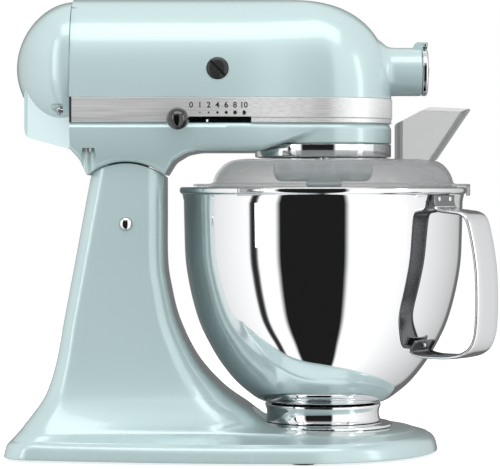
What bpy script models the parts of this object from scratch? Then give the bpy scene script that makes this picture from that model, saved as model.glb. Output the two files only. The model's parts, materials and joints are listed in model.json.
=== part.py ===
"""Stand mixer with a tilting head, modelled as separate parts.

Metres, +Z up. +X points to the nose, the operator's side with the speed lever is -Y.
The origin is at the middle of the foot print, on the worktop.
"""

import math

import bmesh
import bpy
from mathutils import Matrix, Vector

MM = 0.001

# Clearances and walls
GAP = 0.4 * MM
RUNNING = 0.3 * MM
PLATE_WALL = 4.5 * MM
HEAD_WALL = 3.5 * MM

# Axes that the moving parts share
PIN = Vector((-94.7, 0.0, 178.9)) * MM
BOWL_X = 57.2 * MM
MOTOR_Z = 297.0 * MM
LAY_SHAFT = Vector((20.0, 27.0)) * MM
AGITATOR_OFFSET = 27.0 * MM
BRUSH_X = -24.6 * MM
LEVER_PIVOT = Vector((-34.6, -20.5)) * MM
LEVER_Z = 258.4 * MM
CAP_HINGE = Vector((136.6, 0.0, 317.6)) * MM

# Base and column
BASE_REAR = -187.0 * MM
BASE_FRONT = 147.0 * MM
BASE_HALF = 110.0 * MM
BASE_HALF_REAR = 86.0 * MM
BASE_BOTTOM = 2.0 * MM
PAD_Z = 20.0 * MM
COLUMN_HALF = 50.0 * MM
COLUMN_TOP_R = 46.0 * MM
FOOT_R = 9.0 * MM
FOOT_POINTS = ((128, 0), (40, 92), (40, -92), (-163, 58), (-163, -58))
PIN_R = 4.7 * MM

# Head
HEAD_REAR = -137.0 * MM
HEAD_HALF = 62.0 * MM
NOSE_R = 53.3 * MM
HEAD_TOP = 353.0 * MM
DOME_START = 30.0 * MM
BAND_TOP = 275.6 * MM
BAND_BOTTOM = 255.9 * MM
BAND_RECESS = 2.5 * MM
HOUSING_JOINT = 265.4 * MM
NOSE_BOTTOM = 240.5 * MM
YOKE_R = 47.3 * MM
LUG_HALF = 24.0 * MM
COVER_DEPTH = 45.7 * MM
HUB_R = 18.8 * MM
HUB_BORE_R = 15.2 * MM
HUB_END = 134.8 * MM
BRUSH_CAP_R = 8.1 * MM

HOUSING_SCREW = Vector((-122.8, 54.5)) * MM
COVER_SCREW = Vector((-149.0, -52.0, 265.0)) * MM
KNOB_X = 122.0 * MM
CORD_Z = 262.0 * MM
HOOD_HALF = 48.0 * MM

# Drive
ARMATURE_R = 26.0 * MM
WORM_R = 6.7 * MM
WORM_WHEEL_R = 19.7 * MM
CENTRE_GEAR_R = 36.5 * MM
DRIVE_PINION_R = 8.9 * MM
RING_GEAR_R = 36.4 * MM
PLANET_PINION_R = 8.6 * MM
PLANETARY_R = 39.0 * MM
BOSS_R = 13.8 * MM
SHAFT_R = 6.0 * MM
AGITATOR_R = 5.0 * MM

# Bowl, handle and shield
BOWL_WALL = 1.3 * MM
RIM_Z = 207.0 * MM
FOOT_RING_R = 45.4 * MM
CLAMP_R = 54.4 * MM
HANDLE_ANGLE = math.radians(-37.0)
HANDLE_HALF = 15.0 * MM
HANDLE_THICK = 3.0 * MM
SHIELD_R = 115.0 * MM
SHIELD_OPENING_R = 50.0 * MM
SHIELD_MOUTH_HALF = 58.0 * MM
SHIELD_WALL = 2.2 * MM
CHUTE_HALF = 36.0 * MM

AXIS_TURN = {
    "X": Matrix.Rotation(math.radians(90), 4, "Y"),
    "Y": Matrix.Rotation(math.radians(-90), 4, "X"),
    "Z": Matrix.Identity(4),
}


# ---------------------------------------------------------------- scene and materials


def clear_scene():
    for obj in list(bpy.data.objects):
        bpy.data.objects.remove(obj, do_unlink=True)


def make_collection(name):
    collection = bpy.data.collections.new(name)
    bpy.context.scene.collection.children.link(collection)
    return collection


def make_material(name, colour, roughness, metallic=0.0, alpha=1.0):
    made = bpy.data.materials.new(name)
    made.use_nodes = True
    shader = made.node_tree.nodes["Principled BSDF"]
    shader.inputs["Base Color"].default_value = (*colour, 1.0)
    shader.inputs["Roughness"].default_value = roughness
    shader.inputs["Metallic"].default_value = metallic
    shader.inputs["Alpha"].default_value = alpha
    return made


clear_scene()
PARTS = make_collection("stand_mixer")
CUTTERS = make_collection("cutters")

PAINT = make_material("ice_blue_paint", (0.50, 0.67, 0.68), 0.15)
CHROME = make_material("chrome", (0.85, 0.85, 0.86), 0.05, 1.0)
POLISHED = make_material("polished_steel", (0.80, 0.81, 0.82), 0.04, 1.0)
BRUSHED = make_material("brushed_steel", (0.72, 0.72, 0.72), 0.35, 1.0)
GEAR_STEEL = make_material("gear_steel", (0.45, 0.46, 0.48), 0.4, 1.0)
CASTING = make_material("bare_casting", (0.6, 0.6, 0.6), 0.5, 1.0)
BRONZE = make_material("bronze", (0.62, 0.42, 0.20), 0.4, 1.0)
COPPER = make_material("copper_winding", (0.72, 0.36, 0.20), 0.45, 1.0)
BLACK = make_material("black_plastic", (0.015, 0.015, 0.015), 0.2)
CARBON = make_material("carbon", (0.03, 0.03, 0.03), 0.7)
BOARD = make_material("insulating_board", (0.25, 0.14, 0.06), 0.6)
RUBBER = make_material("rubber", (0.05, 0.05, 0.05), 0.8)
CLEAR = make_material("clear_plastic", (0.80, 0.80, 0.80), 0.1, 0.0, 0.35)


# ---------------------------------------------------------------- modelling helpers


def in_mm(*points):
    """Millimetre points as metres."""
    return [tuple(value * MM for value in point) for point in points]


def add_object(name, mesh, mat, smooth=True):
    obj = bpy.data.objects.new(name, mesh)
    PARTS.objects.link(obj)
    if mat:
        mesh.materials.append(mat)
    if smooth:
        mesh.shade_smooth()
        mesh.set_sharp_from_angle(angle=math.radians(35))
    return obj


def from_bmesh(name, bm, mat, smooth=True):
    bmesh.ops.recalc_face_normals(bm, faces=bm.faces)
    mesh = bpy.data.meshes.new(name)
    bm.to_mesh(mesh)
    bm.free()
    return add_object(name, mesh, mat, smooth)


def cylinder(name, radius, base, length, axis="Z", mat=None, segments=24):
    """A solid cylinder that runs from base along the given world axis."""
    bm = bmesh.new()
    bmesh.ops.create_cone(bm, cap_ends=True, segments=segments, radius1=radius, radius2=radius, depth=length)
    bmesh.ops.translate(bm, verts=bm.verts, vec=(0, 0, length / 2))
    obj = from_bmesh(name, bm, mat)
    obj.matrix_world = Matrix.Translation(base) @ AXIS_TURN[axis]
    return obj


def box(name, low, high, mat=None):
    bm = bmesh.new()
    bmesh.ops.create_cube(bm, size=1.0)
    size = Vector(high) - Vector(low)
    bmesh.ops.scale(bm, vec=size, verts=bm.verts)
    obj = from_bmesh(name, bm, mat, smooth=False)
    obj.location = (Vector(low) + Vector(high)) / 2
    return obj


def prism(name, outline, low, high, mat=None):
    """An outline of (x, z) points, extruded along Y from low to high."""
    bm = bmesh.new()
    face = bm.faces.new([bm.verts.new((x, low, z)) for x, z in outline])
    grown = bmesh.ops.extrude_face_region(bm, geom=[face])
    moved = [item for item in grown["geom"] if isinstance(item, bmesh.types.BMVert)]
    bmesh.ops.translate(bm, verts=moved, vec=(0, high - low, 0))
    return from_bmesh(name, bm, mat)


def loft(name, loops, mat=None, smooth=True):
    """Skins closed loops of points and caps both ends."""
    bm = bmesh.new()
    rings = [[bm.verts.new(point) for point in loop] for loop in loops]
    for low, high in zip(rings, rings[1:]):
        for i, start in enumerate(low):
            j = (i + 1) % len(low)
            bm.faces.new((start, low[j], high[j], high[i]))
    bm.faces.new(rings[0])
    bm.faces.new(rings[-1])
    bmesh.ops.remove_doubles(bm, verts=bm.verts, dist=0.001 * MM)
    bmesh.ops.triangulate(bm, faces=bm.faces)
    return from_bmesh(name, bm, mat, smooth)


def turned(name, profile, base, axis="Z", mat=None, steps=32, ring=False):
    """A turned shape from (radius, height) points, outer side from top to bottom; a ring closes."""
    mesh = bpy.data.meshes.new(name)
    edges = [(i, i + 1) for i in range(len(profile) - 1)]
    if ring:
        edges.append((len(profile) - 1, 0))
    mesh.from_pydata([(r, 0, h) for r, h in profile], edges, [])
    obj = add_object(name, mesh, mat, smooth=False)
    screw = obj.modifiers.new("turn", "SCREW")
    screw.axis = "Z"
    screw.steps = steps
    screw.render_steps = steps
    screw.use_merge_vertices = True
    screw.merge_threshold = 0.01 * MM
    screw.use_smooth_shade = True
    obj.matrix_world = Matrix.Translation(base) @ AXIS_TURN[axis]
    return obj


def ring(name, outer, inner, base, length, axis="Z", mat=None, steps=16):
    profile = [(outer, length), (outer, 0), (inner, 0), (inner, length)]
    return turned(name, profile, base, axis, mat, steps, ring=True)


def toothed(name, levels, teeth, base, axis="Z", mat=None, inside=False):
    """A toothed blank: levels are (height, tip radius, root radius). inside makes a ring gear's cutter."""
    loops = []
    for height, tip, root in levels:
        loop = []
        for i in range(4 * teeth):
            on_tip = i % 4 < 2
            angle = 2 * math.pi * (i + 0.5) / (4 * teeth)
            radius = tip if on_tip != inside else root
            loop.append((radius * math.cos(angle), radius * math.sin(angle), height))
        loops.append(loop)
    obj = loft(name, loops, mat)
    obj.matrix_world = Matrix.Translation(base) @ AXIS_TURN[axis]
    return obj


def spur_gear(name, tip, depth, width, teeth, base, mat=GEAR_STEEL):
    return toothed(name, [(0, tip, tip - depth), (width, tip, tip - depth)], teeth, base, mat=mat)


def boolean(target, tool, operation="DIFFERENCE"):
    modifier = target.modifiers.new(operation.lower(), "BOOLEAN")
    modifier.operation = operation
    modifier.solver = "EXACT"
    modifier.object = tool
    if tool.name not in CUTTERS.objects:
        PARTS.objects.unlink(tool)
        CUTTERS.objects.link(tool)
        tool.hide_render = True
        tool.display_type = "WIRE"
    return target


def cut(target, *tools):
    for tool in tools:
        boolean(target, tool)
    return target


def join(target, *tools):
    for tool in tools:
        boolean(target, tool, "UNION")
    return target


def pivot(name, location):
    """An empty on a joint's axis."""
    empty = bpy.data.objects.new(name, None)
    empty.location = location
    PARTS.objects.link(empty)
    return empty


def carry(empty, *pieces):
    """Parents pieces to an empty and leaves them where they are."""
    bpy.context.view_layer.update()
    for piece in pieces:
        place = piece.matrix_world.copy()
        piece.parent = empty
        piece.matrix_parent_inverse = empty.matrix_world.inverted()
        piece.matrix_world = place


def arc(centre, radius, start, end, count):
    """Points on an arc in the plane of an outline, angles in degrees."""
    points = []
    for i in range(count + 1):
        angle = math.radians(start + (end - start) * i / count)
        points.append((centre[0] + radius * math.cos(angle), centre[1] + radius * math.sin(angle)))
    return points


def mirrored(half):
    """A closed outline from its +Y half, whose first and last points lie on the centre plane."""
    return half + [(x, -y) for x, y in reversed(half[1:-1])]


# ---------------------------------------------------------------- base and column


def footprint(rear, front, half_rear, half_front, corner_rear, corner_front):
    """The plan outline of base and column at one height: squarish at the rear, round at the front."""
    side_rear = rear + corner_rear
    side_front = front - corner_front
    half = [(rear, 0.0), (rear, (half_rear - corner_rear) / 2)]
    half += arc((side_rear, half_rear - corner_rear), corner_rear, 180, 90, 3)
    for i in range(1, 5):
        x = side_rear + (side_front - side_rear) * i / 5
        back = (side_front - x) / (side_front - side_rear)
        half.append((x, half_front - (half_front - half_rear) * back**2))
    half += arc((side_front, half_front - corner_front), corner_front, 90, 5, 6)
    half.append((front, 0.0))
    return mirrored(half)


def base_section(z):
    """The base's rounded edge draws in towards the pad."""
    inset = 18 * MM * ((z - BASE_BOTTOM) / (PAD_Z - BASE_BOTTOM)) ** 1.7
    half_front = BASE_HALF - inset
    rear = BASE_REAR + 0.55 * inset
    return (z, rear, BASE_FRONT - inset, BASE_HALF_REAR - 0.6 * inset, half_front, 24 * MM, half_front)


# height, rear, front, half widths at rear and front, corner radii at rear and front
COLUMN_SECTIONS = (
    (20.1, -177.0, 2.0, 74.5, 91.0, 24, 20),
    (27.0, -171.5, 1.0, 69.0, 83.0, 24, 22),
    (33.5, -166.0, -1.0, 65.0, 76.0, 22, 24),
    (40.0, -161.0, -7.5, 61.0, 70.0, 20, 24),
    (53.0, -154.3, -24.5, 57.5, 63.5, 17, 20),
    (65.0, -150.7, -35.0, 55.0, 59.5, 16, 18),
    (77.6, -147.6, -44.0, 53.5, 57.0, 15, 16),
    (103.0, -143.0, -56.0, 51.5, 53.0, 14, 14),
    (128.0, -138.4, -62.3, 50.5, 51.0, 14, 14),
    (150.0, -134.3, -65.3, 50.0, 50.0, 14, 14),
    (232.0, -119.0, -65.5, 50.0, 50.0, 14, 14),
)


def section_loop(section, wall=0.0):
    z, rear, front, half_rear, half_front, corner_rear, corner_front = section
    outline = footprint(
        rear + wall,
        front - wall,
        half_rear - wall,
        half_front - wall,
        corner_rear - 0.6 * wall,
        corner_front - 0.6 * wall,
    )
    return [(x, y, z) for x, y in outline]


def yoke_cutter(name, radius):
    """Everything above the round top of the column."""
    x, z = PIN.x, PIN.z
    outline = arc((x, z), radius, 155, 25, 16)
    outline += [(x + 90 * MM, z + 20 * MM), (x + 90 * MM, z + 80 * MM)]
    outline += [(x - 90 * MM, z + 80 * MM), (x - 90 * MM, z + 20 * MM)]
    return prism(name, outline, -80 * MM, 80 * MM)


def lug_slot():
    """The slot that the head's lug swings in, open to the rear."""
    x, z = PIN.x, PIN.z
    outline = [
        (x + 21.7 * MM, z - 21 * MM),
        (x + 21.7 * MM, z + 70 * MM),
        (x - 76 * MM, z + 70 * MM),
        (x - 76 * MM, z + 6 * MM),
        (x - 29 * MM, z - 3 * MM),
        (x - 27 * MM, z - 21 * MM),
    ]
    return prism("lug_slot", outline, -LUG_HALF - 0.6 * MM, LUG_HALF + 0.6 * MM)


def make_pedestal():
    sections = [base_section(z * MM) for z in (2, 7, 12, 16.5, 19.9)]
    column = [tuple(value * MM for value in row) for row in COLUMN_SECTIONS]
    pedestal = loft("pedestal", [section_loop(section) for section in sections + column], PAINT)
    inner = [section for section in column if 36 * MM < section[0] < 160 * MM]
    lowest = (-5 * MM, *inner[0][1:])
    hollow = loft("column_hollow", [section_loop(section, PLATE_WALL) for section in [lowest] + inner])
    cut(pedestal, yoke_cutter("column_top_cutter", COLUMN_TOP_R), lug_slot(), hollow)
    cut(pedestal, cylinder("pin_bore", PIN_R + RUNNING, PIN - Vector((0, 70 * MM, 0)), 140 * MM, "Y"))
    for i, (x, y) in enumerate(FOOT_POINTS):
        cut(pedestal, cylinder(f"foot_recess_{i}", FOOT_R + 0.5 * MM, (x * MM, y * MM, -5 * MM), 10.4 * MM))
    lock_slot = box("lock_slot", (-92 * MM, 20 * MM, 196 * MM), (-66.6 * MM, 60 * MM, 201 * MM))
    return cut(pedestal, lock_slot)


def make_feet():
    feet = []
    top, chamfer = 5 * MM, 1 * MM
    profile = [(0, top), (FOOT_R - chamfer, top), (FOOT_R, top - chamfer)]
    profile += [(FOOT_R, chamfer), (FOOT_R - chamfer, 0), (0, 0)]
    for i, (x, y) in enumerate(FOOT_POINTS):
        feet.append(turned(f"rubber_foot_{i + 1}", profile, (x * MM, y * MM, 0), mat=RUBBER, steps=12))
    return feet


def make_clamp_plate(pedestal):
    """The twist-lock plate that the bowl's foot ring turns into, and its two screws."""
    low, top = PAD_Z + GAP, PAD_Z + 3.9 * MM
    profile = [
        (36 * MM, top + 7 * MM),
        (36 * MM, top),
        (CLAMP_R - 1.5 * MM, top),
        (CLAMP_R, top - 1.5 * MM),
        (CLAMP_R, low),
        (10 * MM, low),
        (10 * MM, top),
        (33 * MM, top),
        (33 * MM, top + 7 * MM),
    ]
    plate = turned("bowl_clamp_plate", profile, (BOWL_X, 0, 0), mat=CHROME, steps=28, ring=True)
    screws = []
    for i in range(2):
        angle = math.pi * (i + 0.5)
        x = BOWL_X + 22 * MM * math.cos(angle)
        y = 22 * MM * math.sin(angle)
        hole = cylinder(f"clamp_screw_hole_{i}", 2.2 * MM, (x, y, 5 * MM), 30 * MM, segments=12)
        cut(plate, hole)
        cut(pedestal, hole)
        head = top + GAP
        shape = [(0, head + 2 * MM), (3 * MM, head + 2 * MM), (3.6 * MM, head + 1 * MM)]
        shape += [(3.6 * MM, head), (1.8 * MM, head), (1.8 * MM, 12 * MM), (0, 12 * MM)]
        screws.append(turned(f"clamp_plate_screw_{i + 1}", shape, (x, y, 0), mat=CHROME, steps=8))
    return [plate, *screws]


def make_hinge_pin():
    half = 51 * MM
    profile = [(0, half + 1.6 * MM), (2.6 * MM, half + 1.3 * MM), (PIN_R, half)]
    profile += [(radius, -height) for radius, height in reversed(profile)]
    return turned("hinge_pin", profile, PIN, "Y", CHROME, 20)


def make_lock_lever():
    """The head lock: a bar in the column's far cheek, with a round button outside."""
    bar = box("head_lock_lever", (-80 * MM, 26 * MM, 196.5 * MM), (-72 * MM, 53 * MM, 200.5 * MM), BLACK)
    button = cylinder("lock_button", 7 * MM, (-76 * MM, 51 * MM, 198.5 * MM), 9 * MM, "Y", segments=20)
    return join(bar, button)


# ---------------------------------------------------------------- head castings


def head_half(x):
    """Half width of the head at its band, from the parallel body to the round nose."""
    taper_start = -25 * MM
    if x <= taper_start:
        return HEAD_HALF
    if x <= BOWL_X:
        t = (x - taper_start) / (BOWL_X - taper_start)
        return HEAD_HALF - (HEAD_HALF - NOSE_R) * t * t * (3 - 2 * t)
    return math.sqrt(max(NOSE_R**2 - (x - BOWL_X) ** 2, 0.0))


def head_outline(inset=0.0, flank=0.0, rear=HEAD_REAR):
    """Plan outline, closed across the rear. flank draws in the body's sides but not the nose."""
    half = []
    for x in (rear, -100 * MM, -60 * MM, -25 * MM, -4 * MM, 16 * MM, 36 * MM):
        t = min(max((x + 25 * MM) / (BOWL_X + 25 * MM), 0.0), 1.0)
        half.append((x, head_half(x) - inset - flank * (1 - t * t * (3 - 2 * t))))
    half += arc((BOWL_X, 0), NOSE_R - inset, 90, 0, 8)
    return half + [(x, -y) for x, y in reversed(half[:-1])]


def at_height(outline, z):
    return [(x, y, z) for x, y in outline]


def dome_loops(inset, top):
    """Loops from the band up to the ridge; each shrinks to the ridge line by a superellipse."""
    outline = head_outline(inset)
    loops = []
    for step in range(0, 7):
        angle = math.radians(90 * step / 6)
        side = math.cos(angle) ** (2 / 2.45)
        rise = math.sin(angle) ** (2 / 2.45)
        if step == 6:
            side, rise = 0.0, 1.0
        loop = []
        for x, y in outline:
            spine = min(x, DOME_START)
            loop.append((spine + (x - spine) * side, y * side, BAND_TOP + (top - BAND_TOP) * rise))
        loops.append(loop)
    return loops


def dome_solid(name, inset, top, low, low_inset, rear_reach=0.0, mat=None):
    """The head above the housing joint, as a solid: recessed behind the band, then the dome."""
    outline = head_outline(low_inset)
    loops = [at_height(outline, low), at_height(outline, BAND_TOP)] + dome_loops(inset, top)
    if rear_reach:
        loops = [[(x - rear_reach if x <= HEAD_REAR else x, y, z) for x, y, z in loop] for loop in loops]
    bm = bmesh.new()
    rings = [[bm.verts.new(point) for point in loop] for loop in loops]
    count = len(rings[0])
    for lower, upper in zip(rings, rings[1:]):
        for i in range(count - 1):
            bm.faces.new((lower[i], lower[i + 1], upper[i + 1], upper[i]))
    rear_edge = [loop[0] for loop in rings] + [loop[-1] for loop in reversed(rings[:-1])]
    bm.faces.new(rear_edge)
    bm.faces.new(rings[0])
    bmesh.ops.remove_doubles(bm, verts=bm.verts, dist=0.001 * MM)
    bmesh.ops.dissolve_degenerate(bm, dist=0.001 * MM, edges=bm.edges)
    bmesh.ops.triangulate(bm, faces=bm.faces)
    return from_bmesh(name, bm, mat)


def cap_ear(name, y):
    """One ear of the hub cap's hinge."""
    x, z = CAP_HINGE.x, CAP_HINGE.z
    outline = [
        (x - 11 * MM, z - 7 * MM),
        (x - 2 * MM, z - 7 * MM),
        (x - 2 * MM, z - 1.4 * MM),
        (x + 2.2 * MM, z - 1.4 * MM),
        (x + 2.2 * MM, z + 2.2 * MM),
        (x - 7 * MM, z + 2.2 * MM),
    ]
    return prism(name, outline, y - 1.5 * MM, y + 1.5 * MM)


def cap_pin_bore(name):
    start = CAP_HINGE - Vector((0, 15 * MM, 0))
    return cylinder(name, 1.5 * MM, start, 30 * MM, "Y", segments=12)


def make_upper_housing():
    low = HOUSING_JOINT + GAP
    housing = dome_solid("upper_housing", 0.0, HEAD_TOP, low, BAND_RECESS, mat=PAINT)
    wall = BAND_RECESS + 3 * MM
    hollow = dome_solid("upper_hollow", wall, HEAD_TOP - HEAD_WALL, low - 5 * MM, wall, 5 * MM)
    cut(housing, hollow)
    join(housing, cylinder("hub_tube", HUB_R, (98 * MM, 0, MOTOR_Z), HUB_END - 98 * MM, "X", segments=32))
    join(housing, cap_ear("cap_ear_near", -7 * MM), cap_ear("cap_ear_far", 7 * MM))
    cut(housing, cylinder("hub_bore", HUB_BORE_R, (86 * MM, 0, MOTOR_Z), 60 * MM, "X", segments=32))
    cut(housing, cap_pin_bore("cap_pin_bore"))
    cut(housing, cylinder("brush_bores", BRUSH_CAP_R + GAP, (BRUSH_X, -80 * MM, MOTOR_Z), 160 * MM, "Y"))
    cut(housing, cylinder("knob_bore", 3.4 * MM, (KNOB_X, 10 * MM, MOTOR_Z), 20 * MM, "Y", segments=16))
    return housing


def underside(lift=0.0):
    """Side outline of the lower housing: nose floor, throat, the yoke over the column, rear."""
    rear = HEAD_REAR - lift - 3 * MM
    outline = [(rear, 300 * MM), (rear, 238.2 * MM + lift), (-130 * MM + lift, 228 * MM + lift)]
    yoke = YOKE_R + lift
    start = 129 if not lift else 122
    outline += arc((PIN.x, PIN.z), yoke, start, 180 - start, 12)
    outline += [
        (-58.5 * MM - lift, 226.1 * MM + lift),
        (-48.6 * MM - lift, 232.3 * MM + lift),
        (-38.5 * MM, 234.2 * MM + lift),
        (8 * MM - 3 * lift, 234.2 * MM + lift),
        (25 * MM - 6 * lift, NOSE_BOTTOM + lift),
        (140 * MM, NOSE_BOTTOM + lift),
        (140 * MM, 300 * MM),
    ]
    return outline


def lower_body(name, inset, lift, mat=None):
    """The plan outline lofted down with drawn-in flanks, trimmed by the side outline."""
    rear = HEAD_REAR - lift
    levels = [(HOUSING_JOINT + lift, inset + BAND_RECESS, 0.0)]
    if not inset:
        levels += [(BAND_BOTTOM - GAP, BAND_RECESS, 0.0), (BAND_BOTTOM - 2 * GAP, 0.0, 0.0)]
    under = inset + BAND_RECESS if inset else 0.0
    levels += [(z * MM, under, flank * MM) for z, flank in ((247, 1.0), (236, 4.0), (226, 8.0), (205, 13.0))]
    body = loft(name, [at_height(head_outline(edge, flank, rear), z) for z, edge, flank in levels], mat)
    side = prism(name + "_side", underside(lift), -80 * MM, 80 * MM)
    boolean(body, side, "INTERSECT")
    return body


def make_lower_housing():
    housing = lower_body("lower_housing", 0.0, 0.0, PAINT)
    x, z = PIN.x, PIN.z
    neck = 15 * MM
    lug = arc((x, z), 20 * MM, 138.6, 401.4, 20) + [(x + neck, 233 * MM), (x - neck, 233 * MM)]
    join(housing, prism("hinge_lug", lug, -LUG_HALF, LUG_HALF))
    cut(housing, lower_body("lower_hollow", 3 * MM, 4 * MM))
    cut(housing, cylinder("lug_bore", PIN_R + RUNNING, (x, -40 * MM, z), 80 * MM, "Y"))
    cut(housing, cylinder("shaft_bore", SHAFT_R + 0.8 * MM, (BOWL_X, 0, 230 * MM), 30 * MM))
    cut(housing, cylinder("ring_seat", 53.7 * MM, (BOWL_X, 0, 220 * MM), NOSE_BOTTOM - 220 * MM, segments=40))
    slot_low, slot_high = BAND_BOTTOM - 0.2 * MM, 261.2 * MM
    cut(housing, box("lever_slot", (-56 * MM, -70 * MM, slot_low), (1 * MM, -50 * MM, slot_high)))
    for side in (-1, 1):
        x, y = HOUSING_SCREW.x, side * HOUSING_SCREW.y
        recess_base = (x, y + side * 1.5 * MM, 205 * MM)
        recess = cylinder(f"screw_recess_{side}", 5.5 * MM, recess_base, 32 * MM, segments=20)
        hole = cylinder(f"screw_hole_{side}", 2.3 * MM, (x, y, 230 * MM), 25 * MM, segments=12)
        cut(housing, recess, hole)
    return housing


def make_housing_screws():
    screws = []
    profile = in_mm((0, 252), (1.9, 252), (1.9, 236.5), (3.6, 236.5), (3.6, 234.5), (2.4, 233.3), (0, 233.3))
    for name, side in (("housing_screw_near", -1), ("housing_screw_far", 1)):
        place = (HOUSING_SCREW.x, side * HOUSING_SCREW.y, 0)
        screws.append(turned(name, profile, place, mat=CHROME, steps=8))
    return screws


def cover_loop(x, inset):
    """Cross-section of the rear cover at one station."""
    depth = COVER_DEPTH - inset
    t = min(max((HEAD_REAR - x) / depth, 0.0), 1.0)
    size = max(1 - t**1.85, 0.0) ** (1 / 1.85)
    loop = []
    for i in range(28):
        angle = 2 * math.pi * i / 28
        c, s = math.cos(angle), math.sin(angle)
        y = (60 * MM - inset) * size * math.copysign(abs(c) ** (2 / 2.5), c)
        z = (52 * MM - inset) * size * math.copysign(abs(s) ** (2 / 2.5), s)
        loop.append((x, y, 299 * MM + z))
    return loop


def cover_dome(name, inset, mat=None, reach=0.0):
    stations = [0.0, 0.25, 0.48, 0.68, 0.83, 0.93, 0.985]
    depth = COVER_DEPTH - inset
    start = HEAD_REAR - 0.3 * MM
    loops = [cover_loop(start - depth * t * 0.99, inset) for t in stations]
    if reach:
        loops.insert(0, [(x + reach, y, z) for x, y, z in loops[0]])
    return loft(name, loops, mat)


def cord_hood(name, inset, mat=None):
    """The box under the cover that the mains cord leaves through."""
    front = HEAD_REAR - 0.3 * MM + (3 * MM if inset else 0)
    outline = [
        (front, 235.8 * MM + inset),
        (-154.8 * MM, 240.5 * MM + inset),
        (-169.5 * MM + inset, 244.4 * MM + inset),
        (-173.0 * MM + inset, 247.0 * MM + inset),
        (-174.0 * MM + inset, 251.0 * MM + inset),
        (-174.0 * MM + inset, 280 * MM),
        (-160 * MM, 296 * MM),
        (front, 296 * MM),
    ]
    half, half_back = HOOD_HALF - inset, 30 * MM - inset
    hood = prism(name, outline, -half, half, mat)
    near, back = -134 * MM, -176 * MM
    plan = [(near, -half), (near, half), (back, half_back), (back, -half_back)]
    taper = loft(name + "_plan", [at_height(plan, z) for z in (230 * MM, 300 * MM)])
    boolean(hood, taper, "INTERSECT")
    return hood


def make_rear_cover():
    cover = cover_dome("rear_cover", 0.0, PAINT)
    join(cover, cord_hood("hood_body", 0.0))
    cut(cover, cover_dome("cover_hollow", 3 * MM, reach=5 * MM), cord_hood("hood_hollow", 3 * MM))
    cut(cover, cylinder("cord_bore", 7 * MM, (-185 * MM, 0, CORD_Z), 25 * MM, "X"))
    bore_start = COVER_SCREW - Vector((1 * MM, 0, 0))
    recess_start = COVER_SCREW - Vector((29 * MM, 0, 0))
    cut(cover, cylinder("cover_screw_bore", 2.4 * MM, bore_start, 25 * MM, "X", segments=12))
    cut(cover, cylinder("cover_screw_recess", 6 * MM, recess_start, 34 * MM, "X", segments=20))
    return cover


def make_cover_screw():
    profile = in_mm((0, 20), (1.9, 20), (1.9, 4.6), (3.6, 4.6), (3.6, 2.6), (2.4, 1.6), (0, 1.6))
    return turned("rear_cover_screw", profile, COVER_SCREW, "X", CHROME, 8)


def make_trim_band():
    """The brushed band round both sides and the nose, with the speed lever's slot."""
    low, high = BAND_BOTTOM + 0.2 * MM, BAND_TOP - 0.3 * MM
    band = loft("trim_band", [at_height(head_outline(-0.8 * MM), z) for z in (low, high)], BRUSHED)
    inside = head_outline(BAND_RECESS - 0.7 * MM, rear=HEAD_REAR - 5 * MM)
    cut(band, loft("band_inside", [at_height(inside, z) for z in (low - 5 * MM, high + 5 * MM)]))
    slot = box("band_slot", (-56 * MM, -70 * MM, low - 5 * MM), (1 * MM, -50 * MM, 260.4 * MM))
    return cut(band, slot)


# ---------------------------------------------------------------- motor


def make_motor(empty_head):
    """Parts of the motor that stay with the head, then the armature that turns."""
    still = [
        ring("motor_field", 43 * MM, ARMATURE_R + 1 * MM, (-98 * MM, 0, MOTOR_Z), 48 * MM, "X", GEAR_STEEL),
        ring("rear_bearing_bracket", 50 * MM, 11.4 * MM, (-118 * MM, 0, MOTOR_Z), 5 * MM, "X", CASTING),
        ring("rear_bearing", 11 * MM, 5.3 * MM, (-119 * MM, 0, MOTOR_Z), 7 * MM, "X", GEAR_STEEL),
        ring("front_bearing", 11 * MM, 5.3 * MM, (-10 * MM, 0, MOTOR_Z), 7 * MM, "X", GEAR_STEEL),
    ]
    bulkhead = box("gearcase_bulkhead", (-9 * MM, -44 * MM, 270 * MM), (-4 * MM, 44 * MM, 318 * MM), CASTING)
    cut(bulkhead, cylinder("bulkhead_bore", 11.4 * MM, (-15 * MM, 0, MOTOR_Z), 20 * MM, "X"))
    still.append(bulkhead)
    board = box("speed_control_plate", (-146 * MM, -30 * MM, 272 * MM), (-144 * MM, 30 * MM, 322 * MM), BOARD)
    still.append(board)
    for name, side in (("near", -1), ("far", 1)):
        axis_base = (BRUSH_X, side * 20 * MM if side > 0 else -53 * MM, MOTOR_Z)
        still.append(ring(f"brush_holder_{name}", 7.4 * MM, 5.2 * MM, axis_base, 33 * MM, "Y", BRONZE, 16))
        brush_base = (BRUSH_X, 15.4 * MM if side > 0 else -34.4 * MM, MOTOR_Z)
        still.append(cylinder(f"carbon_brush_{name}", 4.8 * MM, brush_base, 19 * MM, "Y", CARBON, 12))
        still.append(make_brush_cap(name, side))
    shaft = turned("armature_shaft", armature_profile(), (0, 0, MOTOR_Z), "X", GEAR_STEEL, 14)
    turning = [
        shaft,
        ring("armature_core", ARMATURE_R, 5.4 * MM, (-97 * MM, 0, MOTOR_Z), 46 * MM, "X", COPPER),
        ring("commutator", 14.8 * MM, 5.4 * MM, (-36 * MM, 0, MOTOR_Z), 22 * MM, "X", COPPER),
        make_fan(),
        ring("speed_governor", 15 * MM, 5.4 * MM, (-133 * MM, 0, MOTOR_Z), 9 * MM, "X", BOARD),
    ]
    carry(empty_head, *still)
    spin = pivot("armature_axis", (0, 0, MOTOR_Z))
    carry(spin, *turning)
    carry(empty_head, spin)


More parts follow.
